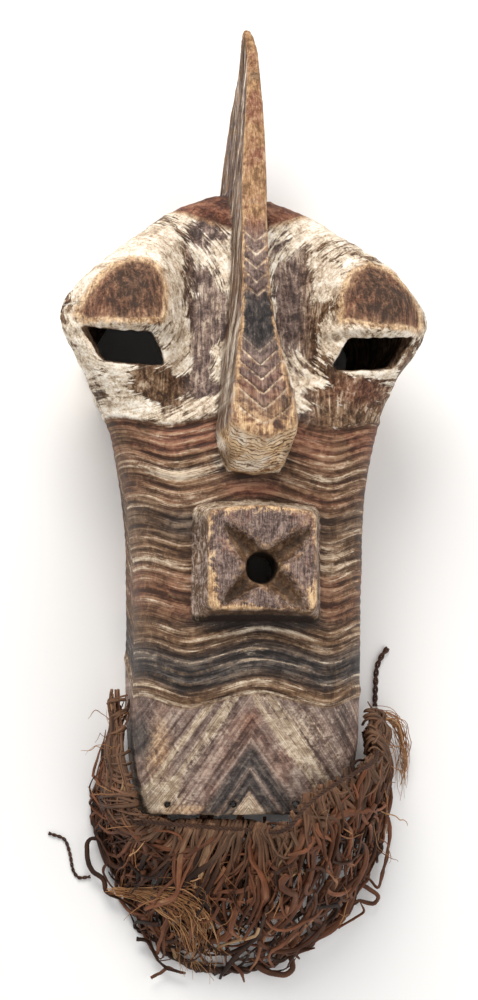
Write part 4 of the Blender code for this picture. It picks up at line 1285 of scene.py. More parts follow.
def stripeRelief(points, f):
    s = maskShape
    x, y = points[:, 0], points[:, 1]
    level = f["level"] + 0.0014 * softNoise(points, (0.05, 0.05, 0.05), 5)
    cheek = ease(s["stripesFrom"] - 0.003, s["stripesFrom"] + 0.002, level)
    cheek = cheek * (1 - ease(s["stripesTo"] - 0.003, s["stripesTo"], level))
    depth = s["grooveDepth"] * np.clip(0.75 + 0.65 * softNoise(points, (0.05, 0.022, 0.05), 9, 2), 0.15, 1.4)
    depth = depth * (1 - 0.7 * ease(0.8, 0.97, f["across"]))
    turns = (level - s["stripesFrom"]) / s["stripePitch"]
    turns = turns + 0.16 * softNoise(points, (0.06, 0.02, 0.06), 13, 2)
    (plainX, plainY), (wide, tall) = s["plainAt"], s["plainHalf"]
    plain = np.exp(-(((x - plainX) / wide) ** 2 + ((y - plainY) / tall) ** 2) ** 1.5)
    height = -cheek * depth * ridgeWave(turns) * (1 - 0.85 * plain)
    eye = ease(s["stripesTo"], s["stripesTo"] + 0.006, level)
    lid = lidDistance(x, y, f["down"])
    scoops = toolScoops(points, toolMarks["brow"], 21)
    height = height + eye * (1 - ease(-0.002, 0.002, lid)) * 0.0019 * (scoops - 0.35)
    return height - 0.001 * ease(-0.0006, 0.0026, lid) + 0.0011 * line(f["level"], 0.3045, 0.0024)


def chinRelief(points, f):
    v = chinV(points[:, 0], points[:, 1])
    chin = (1 - ease(chinShape["top"], chinShape["top"] + 0.006, f["level"])) * (1 - f["down"])
    height = 0.0012 * line(f["level"], chinShape["top"] + 0.0045, 0.0035)
    for place, wide, deep in chinShape["grooves"]:
        height = height - chin * deep * line(v, place, wide)
    return height


def bladeRelief(points, f):
    b = bladeShape
    y, z = points[:, 1], points[:, 2]
    row = bladeRow(y, f["bladeX"], f["half"])
    onFront = ease(-0.006, -0.002, z - f["front"])
    onFront = onFront * (1 - ease(-0.0018, -0.0004, np.abs(f["bladeX"]) - f["half"]))
    cut = b["chevronDepth"] * np.clip(0.65 + 0.7 * softNoise(points, 0.014, 75), 0.15, 1.2)
    height = 0.0
    for low, high in (b["noseChevrons"], b["browChevrons"]):
        turns = (row - low) / b["chevronPitch"]
        inRange = ease(low - 0.002, low, row) * (1 - ease(high, high + 0.002, row))
        height = height - onFront * inRange * cut * (1 - (turns % 1.0)) ** 1.5
    share = np.clip((f["front"] - z) / (f["front"] - f["rear"]), 0, 1)
    side = ease(b["flutesFrom"], b["flutesFrom"] + 0.05, y) * (1 - onFront * f["blade"])
    flutes = ridgeWave(share * (b["flutes"] + 1) + 0.05 * softNoise(points, (0.05, 0.09, 0.05), 4), 1.0)
    height = height - side * b["fluteDepth"] * flutes * np.minimum(1.0, f["half"] / 0.006)
    under = 1 - ease(b["tip"] - 0.006, b["tip"] + 0.001, row)
    rings = (z + 0.3 * np.abs(f["bladeX"])) / 0.0042 + 1.6 * softNoise(points, (0.022, 0.03, 0.016), 31, 2)
    height = height - under * 0.0006 * ridgeWave(rings, 1.0) * np.clip(0.6 + softNoise(points, 0.014, 33),
                                                                       0.1, 1.5)
    height = height - under * 0.0016 * toolScoops(points, toolMarks["tip"], 35)
    return height + 0.0005 * softNoise(points, (0.01, 0.03, 0.01), 71, 2)


def reliefHeight(points, f):
    # how far each point moves out along its normal
    skin = (1 - f["inside"]) * (1 - f["blade"]) * (1 - f["mouth"])
    height = skin * (stripeRelief(points, f) + chinRelief(points, f))
    height += f["blade"] * bladeRelief(points, f)
    height += f["inside"] * 0.0012 * (toolScoops(points, toolMarks["hollow"], 41) - 0.35)
    height += skin * 0.0005 * softNoise(points, 0.022, 51, 2) + skin * 0.00025 * softNoise(points, 0.005, 52)
    return height + f["mouth"] * 0.0004 * softNoise(points, 0.01, 61, 2)


def edgeSharpness(points, normals, edges, rounds):
    # above 0 on ridges and corners, below 0 in grooves
    return ((points - smoothed(points, edges, rounds)) * normals).sum(1)


def buildMask():
    s = maskShape
    mesh = roughMask()
    points = pointsOf(mesh)
    edges = arrayOf(mesh.edges, "vertices", 2, np.int64)
    print("mask: joined and remeshed,", len(mesh.polygons), "faces")
    setPoints(mesh, smoothed(points, edges, 2))
    points = pointsOf(mesh)
    fields = faceFields(points)
    low = points[:, 2] < s["rimBand"]  # the rim stays on the floor plane
    normals = arrayOf(mesh.vertex_normals, "vector", 3)
    moved = points + normals * reliefHeight(points, fields)[:, None]
    moved[low, 2] = np.where(moved[low, 2] < s["rimBand"], points[low, 2], moved[low, 2])
    moved[:, 2] = np.maximum(moved[:, 2], 0.0)
    setPoints(mesh, moved)
    obj = meshObject("maskCarving", mesh)
    group = obj.vertex_groups.new(name="thin out")  # the hollow side may lose more faces than the face
    outside = fields["inside"] < 0.5
    group.add([int(i) for i in np.nonzero(outside)[0]], 0.05, "REPLACE")
    group.add([int(i) for i in np.nonzero(~outside)[0]], 1.0, "REPLACE")
    bm = bmesh.new()
    bm.from_mesh(mesh)
    bmesh.ops.triangulate(bm, faces=bm.faces)
    faces = len(bm.faces)
    bm.to_mesh(mesh)
    bm.free()
    if faces > s["triangles"]:
        thin = obj.modifiers.new("fewer faces", "DECIMATE")
        thin.ratio = s["triangles"] / faces
        thin.vertex_group = "thin out"
        thin.vertex_group_factor = s["keepOutside"]
        final = evaluatedMesh(obj, "maskCarving")
        obj.modifiers.clear()
        obj.data = final
        mesh = final
    obj.vertex_groups.clear()
    print("mask: carved,", len(mesh.polygons), "faces")
    return obj


# paint, and painted shade, laid on in listed patches, in the mask's own coordinates: (x, y, half width, half
# height, amount)
paintPatches = {
    "clayAmount": (
        (-0.103, 0.43, 0.024, 0.013, 0.22), (-0.077, 0.456, 0.024, 0.011, 0.24),
        (-0.058, 0.419, 0.0065, 0.024, 0.42), (-0.055, 0.36, 0.0065, 0.019, 0.18),
        (-0.097, 0.3196, 0.021, 0.008, 0.32), (-0.041, 0.3215, 0.016, 0.007, 0.34),
        (-0.13, 0.36, 0.0065, 0.019, 0.18), (-0.035, 0.453, 0.022, 0.02, -0.22),
        (-0.0285, 0.405, 0.016, 0.03, -0.26), (-0.036, 0.365, 0.008, 0.036, -0.4),
        (-0.0665, 0.3314, 0.034, 0.012, -0.42), (0.061, 0.4624, 0.021, 0.01, 0.12),
        (0.0426, 0.3998, 0.018, 0.046, -0.44), (0.063, 0.419, 0.007, 0.018, 0.42),
        (0.063, 0.38, 0.007, 0.016, 0.22), (0.079, 0.331, 0.038, 0.013, -0.46),
        (0.056, 0.339, 0.011, 0.0065, 0.26), (0.1287, 0.35, 0.01, 0.018, -0.3),
        (0.03, 0.44, 0.016, 0.018, -0.16), (0.082, 0.311, 0.042, 0.009, -0.34),
        (0.085, 0.455, 0.036, 0.02, -0.07), (-0.1, 0.335, 0.018, 0.006, 0.2),
        (0.03, 0.345, 0.016, 0.024, 0.16)),
    "redAmount": (
        (0.0045, 0.2535, 0.022, 0.0085, 1.15), (0.088, 0.334, 0.028, 0.012, 0.75),
        (0.06, 0.29, 0.03, 0.013, 0.45), (-0.045, 0.292, 0.022, 0.012, 0.55),
        (0.094, 0.4, 0.02, 0.016, 0.5), (0.004, 0.072, 0.01, 0.008, 0.5),
        (0.055, 0.243, 0.024, 0.006, 0.4), (-0.06, 0.178, 0.026, 0.01, 0.35)),
    "whiteAmount": (
        (-0.055, 0.264, 0.036, 0.006, 0.75), (0.0045, 0.253, 0.024, 0.0085, -1.6),
        (0.06, 0.262, 0.024, 0.006, 0.55), (0.068, 0.201, 0.018, 0.012, 0.8),
        (0.006, 0.2395, 0.036, 0.003, 1.7), (-0.074, 0.198, 0.026, 0.008, 0.5),
        (0.001, 0.127, 0.012, 0.01, 1.0), (-0.0214, 0.071, 0.014, 0.016, 0.5),
        (0.0394, 0.058, 0.026, 0.022, 0.5), (-0.062, 0.012, 0.02, 0.015, 1.7),
        (-0.052, 0.224, 0.02, 0.01, -0.7), (0.086, 0.19, 0.02, 0.06, 0.2)),
    # dark paint on chin, cheeks and the crest's notch, with painted shadow below the mouth block (y 0.1475)
    # and below the nose (y 0.26), and painted shade in the nostrils
    "darkPaintAndShade": (
        (-0.078, 0.06, 0.008, 0.018, 1.0), (-0.052, 0.224, 0.018, 0.012, 0.5),
        (-0.03, 0.1, 0.04, 0.01, 0.25), (0.006, 0.1475, 0.054, 0.0065, 1.3),
        (-0.0225, 0.2735, 0.0065, 0.0085, 1.0), (0.027, 0.279, 0.0055, 0.0065, 1.0),
        (0.08, 0.068, 0.012, 0.018, 0.45), (0.0068, 0.5907, 0.0045, 0.0034, 1.4),
        (0.001, 0.26, 0.03, 0.0045, 0.5)),
    "goldAmount": (
        (-0.034, 0.17, 0.01, 0.018, 1.0), (-0.01, 0.156, 0.03, 0.006, 1.0),
        (-0.066, 0.048, 0.009, 0.026, 0.8), (0.04, 0.165, 0.01, 0.014, 0.8),
        (-0.028, 0.226, 0.014, 0.006, 0.5), (-0.05, 0.004, 0.04, 0.004, 0.8)),
}


def patchValue(x, y, patches, base=0.0):
    value = np.full(len(x), base)
    for px, py, wide, tall, amount in patches:
        value += amount * np.exp(-(((x - px) / wide) ** 2 + ((y - py) / tall) ** 2) ** 1.5)
    return value


def paintGuides(obj):
    # attributes that the mask's materials read
    mesh = obj.data
    points, normals = pointsOf(mesh), arrayOf(mesh.vertex_normals, "vector", 3)
    f = faceFields(points)
    x, y, z = points.T
    s = maskShape
    sharp = edgeSharpness(points, normals, arrayOf(mesh.edges, "vertices", 2, np.int64), 3)
    mouthX, mouthY = np.abs(f["mouthX"]), np.abs(f["mouthY"])
    facing = ease(-0.006, -0.0022, z - f["front"]) * (1 - ease(-0.0006, 0.0006,
                                                               np.abs(f["bladeX"]) - f["half"]))
    values = {
        "stripeLevel": f["level"], "faceX": f["faceX"], "wallDown": f["down"],
        "insideShare": f["inside"], "bladeShare": f["blade"], "bladeFrontShare": f["blade"] * facing,
        "bladeRow": bladeRow(y, f["bladeX"], f["half"]), "bladeAcross": f["bladeX"] / np.maximum(f["half"],
                                                                                                 0.002),
        "mouthShare": f["mouth"], "mouthFrontShare": f["mouth"] * ease(0.1755, 0.1778, z),
        "mouthHollow": f["mouth"] * (1 - ease(0.1725, 0.1772, z)) * (np.maximum(mouthX, mouthY) < 0.0405),
        "holeDistance": f["hole"], "mouthEdge": np.maximum(mouthX / 0.0425, mouthY / 0.04),
        "lidDistance": lidDistance(x, y, f["down"]), "chinRow": chinV(x, y),
        "edge": np.clip(sharp / 0.00035, -2, 2),
    }
    values["mouthTop"] = f["mouth"] * (1 - values["mouthFrontShare"]) * ease(0.03, 0.038, f["mouthY"])
    # the cut walls of the slots are bare like the hollow side
    rise = s["slotSlant"] * (s["slotFaceZ"] - z)
    slot = outlineDistance(np.abs(x), y - rise, list(s["slotCorners"]))
    slotWall = ease(0.001, 0.0034, -f["above"]) * ease(-0.0022, -0.0008, slot) * (z > 0.11)
    values["insideShare"] = np.maximum(values["insideShare"], slotWall)
    eyeX, eyeY = np.abs(x) - 0.1, y - 0.398
    values["eyeOut"] = np.hypot(eyeX, eyeY)
    values["eyeRound"] = np.arctan2(eyeY, -eyeX) * 0.075 + np.where(x > 0, 3.0, 0.0)
    for name, patches in paintPatches.items():
        values[name] = patchValue(x, y, patches, 0.6 if name == "clayAmount" else 0.0)
    # painted shadow on the mouth block's underside, added to the dark patches
    below = f["mouth"] * ease(0.0395, 0.043, -f["mouthY"])
    values["darkPaintAndShade"] = np.clip(values["darkPaintAndShade"] * (1 - values["mouthFrontShare"]) + 0.9 * below, 0, 1)
    for name, value in values.items():
        setAttribute(mesh, name, value)
    return tuple(values)


maskObject = buildMask()
maskGuides = paintGuides(maskObject)
setPoints(maskObject.data, pointsOf(maskObject.data) + rowShift)
maskObject.data.polygons.foreach_set("use_smooth", [True] * len(maskObject.data.polygons))
print("mask: paint guides stored")


def beardCordRoute():
    # over the beard's upper edge, from under the chin to the face's right corner
    b = beardShape
    share = np.linspace(*b["cordShares"], 25)
    _, _, normal = beardFrame(share, np.full(25, b["cordOut"]))
    middle = beardPoint(share, b["cordOut"])
    middle[:, 2] += (b["thickness"] * 0.8 + 0.002) / 2
    return smoothRoute(middle + normal * (b["cordRadius"] + 0.0018), 60)


def hemRoute():
    b = beardShape
    share = np.linspace(*b["hemShares"], 25)
    before, after = beardPoint(share - 0.01, 1.0), beardPoint(share + 0.01, 1.0)
    away = np.stack([after[:, 1] - before[:, 1], before[:, 0] - after[:, 0], np.zeros(25)], axis=1)
    away /= np.linalg.norm(away, axis=1, keepdims=True)
    route = beardPoint(share, 1.0) + away * (b["hemRadius"] * 0.4)
    route[:, 2] = b["hemRadius"]
    route = smoothRoute(route, 140)
    wobble = np.stack([softNoise(route, 0.02, seed, 2) for seed in (81, 82, 83)], axis=1)
    return route + wobble * np.array([0.0065, 0.0065, 0.0014])


def buildBeard():
    rng = np.random.default_rng(randomSeed)
    share = 1.0
    loops = strays() + hemLoops(rng, int(strandSizes["hemLoops"]["count"] * share))
    plan = (("beardUnder", "under", underStrands, strandMaterial),
            ("beardCollar", "collar", collarStrands, collarMaterial),
            ("beardWindings", "windings", windings, collarMaterial),
            ("beardTangle", "tangle", tangleStrands, strandMaterial),
            ("beardHemLoops", "hemLoops", None, strandMaterial),
            ("beardFineFibre", "fineFibre", fineFibres, paleMaterial))
    for name, kind, grow, material in plan:
        look = strandSizes[kind]
        strands = grow(rng, int(look["count"] * share)) if grow else loops
        tones = np.clip(rng.normal(look["tone"], 0.21, len(strands)), 0.02, 1.0)
        sizes = np.clip(rng.lognormal(-0.05, 0.36, len(strands)), 0.4, 1.9)
        if not grow:
            sizes[:len(strayStrands)] = [stray[0] * 1.1 for stray in strayStrands]
        guides = guideObject(name + "Guides", strands, tones, sizes, twistedOffsets(rng, strands))
        piece = grown(guides, strandTree, name, {
            "Strand Width": look["width"], "Strand Thickness": look["thickness"], "Wave": look["wave"],
            "Sides": look["sides"], "Seed": float(len(name)), "Material": material})
        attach(piece, "root")
        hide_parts("beard")
    for name, route, radius, twist, node in (
            ("beardCord", beardCordRoute(), 0.0019, 0.011, "beard_cord"),
            ("hemCord", hemRoute(), 0.0034, 0.024, "hem_cord")):
        piece = ropeAlong(name, route + rowShift, radius, twist)
        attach(piece, "root")
        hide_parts(node)


buildBeard()


# The mask's paint: a coat for each carved zone, one over the other by soft, broken masks

maskPaint = {
    "brown": ((0.042, 0.02, 0.01), (0.142, 0.078, 0.041), (0.325, 0.208, 0.126)),
    "redBrown": ((0.06, 0.022, 0.014), (0.2, 0.078, 0.046), (0.38, 0.2, 0.125)),
    "blueBlack": ((0.012, 0.011, 0.011), (0.044, 0.037, 0.036), (0.15, 0.122, 0.103)),
    "white": ((0.25, 0.175, 0.112), (0.47, 0.35, 0.242), (0.8, 0.68, 0.53)),
    "clay": ((0.35, 0.255, 0.175), (0.72, 0.6, 0.46), (0.98, 0.925, 0.82)),
    "lid": ((0.05, 0.029, 0.02), (0.17, 0.09, 0.056), (0.4, 0.245, 0.145)),
    "golden": ((0.17, 0.088, 0.042), (0.44, 0.255, 0.128), (0.83, 0.59, 0.345)),
    "greyMauve": ((0.048, 0.031, 0.027), (0.16, 0.107, 0.091), (0.36, 0.265, 0.22)),
    "silvery": ((0.09, 0.058, 0.047), (0.25, 0.178, 0.148), (0.52, 0.41, 0.34)),
    "hollow": ((0.036, 0.02, 0.012), (0.13, 0.076, 0.044), (0.29, 0.185, 0.112)),
    # the first colour here is painted shade, for the grooves and under the mouth block
    "paintedShade": (0.02, 0.012, 0.008), "holeShade": (0.01, 0.008, 0.006),
    "shine": (0.44, 0.82), "reliefDepth": 0.0014, "ringPitch": 0.0034,
}

# how much white, black and red the stripes hold, by stripe level in metres
stripeBands = {
    "white": ((0.0, 0.0), (0.077, 0.15), (0.0805, 0.8), (0.085, 1.0), (0.0885, 0.85), (0.092, 0.3),
              (0.097, 0.05), (0.118, 0.1), (0.124, 0.7), (0.13, 0.35), (0.1335, 0.7), (0.14, 0.4),
              (0.145, 0.15), (0.156, 0.05), (0.176, 0.05), (0.186, 0.42), (0.201, 0.48), (0.207, 0.2),
              (0.216, 0.1), (0.233, 0.25), (0.237, 0.55), (0.247, 0.38), (0.256, 0.6), (0.262, 0.6),
              (0.267, 0.75), (0.271, 0.45), (0.277, 0.12), (0.29, 0.08), (0.2985, 0.22), (0.302, 0.9)),
    "black": ((0.0, 0.0), (0.089, 0.0), (0.093, 0.55), (0.099, 0.95), (0.113, 0.95), (0.119, 0.6),
              (0.124, 0.15), (0.13, 0.0), (0.202, 0.0), (0.212, 0.25), (0.228, 0.35), (0.234, 0.0)),
    "red": ((0.0, 0.0), (0.14, 0.05), (0.154, 0.62), (0.166, 0.42), (0.178, 0.6), (0.185, 0.15),
            (0.23, 0.05), (0.238, 0.35), (0.25, 0.3), (0.26, 0.1), (0.274, 0.5), (0.283, 0.9),
            (0.295, 0.85), (0.302, 0.3)),
}

# the same for the chin's nested Vs, by height along their slopes
chinFoot = ((0.0, 0.9), (0.015, 0.85), (0.019, 0.45), (0.0205, 0.0), (0.034, 0.0), (0.0365, 0.3),
            (0.0395, 0.0))
chinBands = {
    "whiteLeft": chinFoot + (
                  (0.076, 0.05), (0.08, 0.25), (0.085, 0.05), (0.1, 0.15), (0.108, 0.6),
                  (0.115, 0.7), (0.122, 0.3), (0.129, 0.1), (0.133, 0.8), (0.138, 0.85), (0.142, 0.15),
                  (0.16, 0.05)),
    "whiteRight": chinFoot + (
                   (0.07, 0.05), (0.086, 0.15), (0.089, 0.85), (0.0935, 0.7), (0.097, 0.35),
                   (0.105, 0.7), (0.111, 0.75), (0.115, 0.4), (0.124, 0.3), (0.14, 0.45), (0.144, 0.15),
                   (0.16, 0.3)),
    "black": ((0.0, 0.0), (0.0185, 0.0), (0.0205, 0.85), (0.03, 1.0), (0.034, 0.45), (0.038, 0.5),
              (0.041, 0.95), (0.052, 0.85), (0.058, 0.1), (0.062, 0.0)),
    "red": ((0.0, 0.0), (0.054, 0.0), (0.062, 0.6), (0.088, 0.7), (0.105, 0.3), (0.125, 0.15),
            (0.14, 0.3), (0.17, 0.5)),
}


class MaskNodes(Nodes):
    # the mask's node tree: its stored guides, the noises that its zones share, and words for coats of paint
    def __init__(self, tree, guideNames):
        super().__init__(tree)
        self.place = self.objectPlace()
        self.guides = {name: self.guide(name) for name in guideNames}
        level, faceX = self.guides["stripeLevel"], self.guides["faceX"]
        self.along = self.vector(faceX, level, self.times(self.guides["wallDown"], 0.05))
        self.strokes = self.use(brushStreaks, {"Vector": self.along, "Scale": 1.0})
        turned = self.mapped(self.place, turn=(0, 0, math.pi / 2))
        self.upright = self.use(brushStreaks, {"Vector": turned, "Scale": 1.0})
        self.patch = self.noise(self.place, 34.0, 4.0, 0.6, 0.5)
        self.mottle = self.noise(self.place, 130.0, 5.0, 0.68, 0.8)
        self.speck = self.noise(self.place, 520.0, 3.0, 0.7, 0.3)
        self.level = self.jittered(level, self.patch, 0.01)
        self.browLevel = self.jittered(level, self.mottle, 0.006)
        self.fromMiddle = self.math("ABSOLUTE", faceX)
        self.browTone = self.toneOf((self.upright["Streak"], 0.8), (self.mottle, 0.9), (self.patch, 0.5),
                                    (self.speck, 0.5))
        self.frontTone = self.toneOf((self.upright["Streak"], 0.55), (self.mottle, 0.8),
                                     (self.upright["Grain"], 0.4), (self.patch, 0.5))

    def bands(self, value, stops, high=0.32):
        # a grey ramp whose places are in metres
        return self.ramp(self.math("DIVIDE", value, high),
                         [(place / high, (grey,) * 3) for place, grey in stops])

    def tones(self, value, paint):
        dark, middle, light = maskPaint[paint]
        return self.ramp(value, ((0.34, dark), (0.5, middle), (0.68, light)))

    def coat(self, under, share, tone, paint):
        return self.blended(share, under, self.tones(tone, paint))

    def toneOf(self, *parts):
        # noises added up by weight, so that their mean stays at 0.5
        total = 0.5 - 0.5 * sum(weight for _, weight in parts)
        for value, weight in parts:
            total = self.plus(total, value, weight)
        return total

    def between(self, value, low, lowFull, highFull, high):
        return self.times(self.ranged(value, low, lowFull), self.inverse(self.ranged(value, highFull, high)))

    def offLine(self, turns):
        # 0 half way between two lines, 0.5 on a line
        return self.math("ABSOLUTE", self.math("SUBTRACT", self.math("FRACT", turns), 0.5))


def paintCheeks(n, a):
    runs = n.noise(n.mapped(n.along, (10, 120, 20)), 1.0, 2.0, 0.5, 0.6)
    tone = n.toneOf((n.strokes["Streak"], 1.0), (runs, 0.6), (n.mottle, 0.65), (n.strokes["Grain"], 0.4))
    tone = n.plus(tone, a["edge"], 0.05)
    cheek = n.tones(tone, "brown")
    red = n.times(n.bands(n.level, stripeBands["red"]), n.ranged(n.patch, 0.3, 0.55))
    cheek = n.coat(cheek, n.plus(red, a["redAmount"], 0.9), tone, "redBrown")
    black = n.times(n.bands(n.level, stripeBands["black"]), n.ranged(n.patch, 0.25, 0.45, 0.5, 1.0))
    # black paint, and painted shadow below the mouth block and the nose
    cheek = n.coat(cheek, n.plus(black, a["darkPaintAndShade"], 0.8), tone, "blueBlack")
    turns = n.math("DIVIDE", n.math("SUBTRACT", n.level, maskShape["stripesFrom"]), maskShape["stripePitch"])
    cover = n.toneOf((n.strokes["Streak"], 1.15), (runs, 1.0), (n.speck, 0.5), (n.strokes["Grain"], 0.5))
    cover = n.plus(cover, n.bands(n.level, stripeBands["white"]), 0.25)
    cover = n.plus(cover, n.ranged(n.offLine(turns), 0.28, 0.48), 0.2)
    cover = n.plus(n.math("SUBTRACT", cover, 0.04), a["whiteAmount"], 0.3)
    whiteTone = n.toneOf((n.strokes["Grain"], 0.9), (n.mottle, 0.9), (runs, 0.6))
    return n.coat(cheek, n.ranged(cover, 0.72, 1.05, 0.0, 0.85), whiteTone, "white")


def paintChin(n, a):
    # nested Vs, whose rows run up along their slopes
    slanted = n.vector(a["faceX"], a["chinRow"], 0.0)
    strokes = n.use(brushStreaks, {"Vector": slanted, "Scale": 0.8})
    runs = n.noise(n.mapped(slanted, (14, 80, 1)), 1.0, 2.0, 0.5, 0.4)
    row = n.jittered(a["chinRow"], n.patch, 0.008)
    band = {name: n.bands(row, stops, 0.24) for name, stops in chinBands.items()}
    tone = n.toneOf((strokes["Streak"], 0.55), (n.mottle, 0.75), (runs, 0.5), (n.speck, 0.35))
    chin = n.tones(tone, "silvery")
    red = n.times(band["red"], n.ranged(n.patch, 0.35, 0.6), 0.6)
    chin = n.coat(chin, n.plus(red, a["redAmount"], 0.9), tone, "redBrown")
    gold = n.times(a["goldAmount"], n.ranged(n.mottle, 0.4, 0.6, 0.4, 1.0))
    chin = n.coat(chin, gold, tone, "golden")
    chin = n.coat(chin, n.plus(band["black"], a["darkPaintAndShade"], 0.9), tone, "blueBlack")
    white = n.mixed(n.ranged(a["faceX"], -0.006, -0.003), band["whiteLeft"], band["whiteRight"])
    cover = n.toneOf((strokes["Streak"], 0.65), (n.speck, 0.5), (n.mottle, 0.5), (runs, 0.4))
    cover = n.plus(n.plus(cover, white, 0.54), a["whiteAmount"], 0.2)
    whiteTone = n.toneOf((strokes["Grain"], 1.0), (n.mottle, 1.0))
    return n.coat(chin, n.ranged(cover, 0.67, 0.93, 0.0, 0.9), whiteTone, "white")


def paintBrows(n, a):
    # pale clay over brown wood, chipped along the curve of each eye
    around = n.vector(a["eyeRound"], a["eyeOut"], 0.0)
    dashes = n.use(brushStreaks, {"Vector": around, "Scale": 1.6})
    cover = n.jittered(n.jittered(a["clayAmount"], n.patch, 0.9), dashes["Streak"], 0.5)
    chips = n.use(flakingPaint, {"Vector": n.mapped(around, (0.2, 1.0, 1.0)), "Cover": cover,
                                 "Size": 330.0, "Softness": 0.03})
    tone = n.browTone
    wood = n.coat(n.tones(tone, "brown"), n.inverse(n.ranged(n.fromMiddle, 0.036, 0.06)), tone, "greyMauve")
    wood = n.coat(wood, a["redAmount"], tone, "redBrown")
    thinned = n.times(n.ranged(n.upright["Streak"], 0.48, 0.62), n.ranged(n.patch, 0.42, 0.6), 0.6)
    wood = n.coat(wood, thinned, tone, "white")
    clayTone = n.toneOf((n.mottle, 0.8), (n.speck, 0.6), (chips["Thickness"], 1.1), (dashes["Streak"], 0.4))
    return n.coat(wood, chips["Paint"], n.plus(clayTone, a["edge"], 0.05), "clay"), chips["Paint"]


def paintCrown(n, colour):
    row = n.plus(n.browLevel, n.fromMiddle, -0.45)
    tone = n.toneOf((n.mottle, 0.9), (n.patch, 0.9), (n.speck, 0.5))
    crown = n.times(n.ranged(row, 0.46, 0.464), n.inverse(n.ranged(n.fromMiddle, 0.05, 0.066)))
    colour = n.coat(colour, crown, tone, "redBrown")
    line = n.times(n.between(row, 0.4575, 0.4605, 0.4615, 0.465), 0.6)
    return n.coat(colour, line, tone, "golden")


def paintLids(n, a, colour):
    # dark and reddish, rubbed to golden wood round their rims
    rim = n.ranged(n.jittered(a["lidDistance"], n.mottle, 0.014), -0.0062, -0.0015, 0.0, 0.85)
    colour = n.coat(colour, rim, n.plus(n.browTone, a["edge"], 0.06), "golden")
    tone = n.toneOf((n.upright["Streak"], 0.8), (n.patch, 0.35), (n.mottle, 0.45), (n.speck, 0.4))
    tone = n.plus(tone, n.ranged(a["lidDistance"], 0.001, 0.012), -0.1)
    lid = n.coat(n.tones(tone, "lid"), n.ranged(n.patch, 0.44, 0.66, 0.0, 0.5), tone, "redBrown")
    here = n.ranged(n.jittered(a["lidDistance"], n.mottle, 0.009), -0.0005, 0.0028)
    return n.blended(here, colour, lid), here


def paintBladeSide(n, a):
    tone = n.toneOf((n.upright["Streak"], 1.3), (n.upright["Grain"], 0.6), (n.mottle, 0.4))
    tone = n.plus(tone, a["edge"], 0.07)
    chips = n.use(flakingPaint, {"Vector": n.mapped(n.place, (1.0, 0.1, 1.0)), "Cover": 0.42,
                                 "Size": 330.0, "Softness": 0.035})
    side = n.coat(n.tones(tone, "greyMauve"), n.ranged(n.mottle, 0.4, 0.58), tone, "brown")
    return n.coat(side, n.times(chips["Paint"], 0.8), tone, "clay")


def paintNose(n, a):
    # red and golden towards the tip, a black panel at the eyes, and pale lines on the chevrons
    row, tone = a["bladeRow"], n.frontTone
    red = n.times(n.ranged(row, 0.3, 0.35, 0.85, 0.0), n.ranged(n.patch, 0.38, 0.58))
    nose = n.coat(n.tones(tone, "greyMauve"), red, tone, "redBrown")
    gold = n.times(n.ranged(row, 0.288, 0.318, 0.95, 0.0), n.ranged(n.mottle, 0.38, 0.56, 0.2, 1.0))
    nose = n.coat(nose, gold, tone, "golden")
    panel = n.between(row, 0.345, 0.362, 0.39, 0.404)
    nose = n.coat(nose, panel, tone, "blueBlack")
    turns = n.math("SUBTRACT", n.jittered(row, n.mottle, 0.003), bladeShape["noseChevrons"][0])
    turns = n.math("FRACT", n.math("DIVIDE", turns, bladeShape["chevronPitch"]))
    lines = n.times(n.ranged(turns, 0.78, 0.94), n.inverse(panel), n.between(row, 0.286, 0.29, 0.446, 0.45),
                    n.ranged(n.mottle, 0.38, 0.56, 0.2, 0.9))
    return n.coat(nose, lines, tone, "white")


def paintBlade(n, a, rings):
    tone = n.frontTone
    crest = n.coat(n.tones(tone, "golden"), n.ranged(n.patch, 0.38, 0.6), tone, "redBrown")
    crest = n.coat(crest, n.ranged(n.mottle, 0.54, 0.64, 0.0, 0.85), tone, "lid")
    crest = n.coat(crest, n.ranged(n.speck, 0.6, 0.7, 0.0, 0.5), tone, "white")
    front = n.blended(n.ranged(a["bladeRow"], 0.44, 0.466), paintNose(n, a), crest)
    ends = n.jittered(n.math("ABSOLUTE", a["bladeAcross"]), n.mottle, 0.75)
    front = n.coat(front, n.ranged(ends, 0.84, 1.02, 0.0, 0.75), tone, "golden")
    blade = n.blended(a["bladeFrontShare"], paintBladeSide(n, a), front)

    # the underside of the nose's tip: bare wood with lines, and the nostrils
    tone = n.plus(n.toneOf((n.mottle, 0.9), (n.speck, 0.6), (n.patch, 0.5)), rings, 0.24)
    tone = n.math("SUBTRACT", tone, 0.1)
    tip = n.tones(n.plus(tone, a["edge"], 0.1), "golden")
    tip = n.coat(tip, n.ranged(n.patch, 0.42, 0.6, 0.0, 0.65), tone, "clay")
    tip = n.coat(tip, n.times(n.inverse(rings), n.ranged(n.mottle, 0.36, 0.56, 0.15, 0.85)), tone, "brown")
    tipShare = n.inverse(n.ranged(n.jittered(a["bladeRow"], n.mottle, 0.008), 0.28, 0.287))
    # painted shade in the nostrils, and the dark paint of the crest's notch
    return n.coat(n.blended(tipShare, blade, tip), a["darkPaintAndShade"], tone, "hollow")


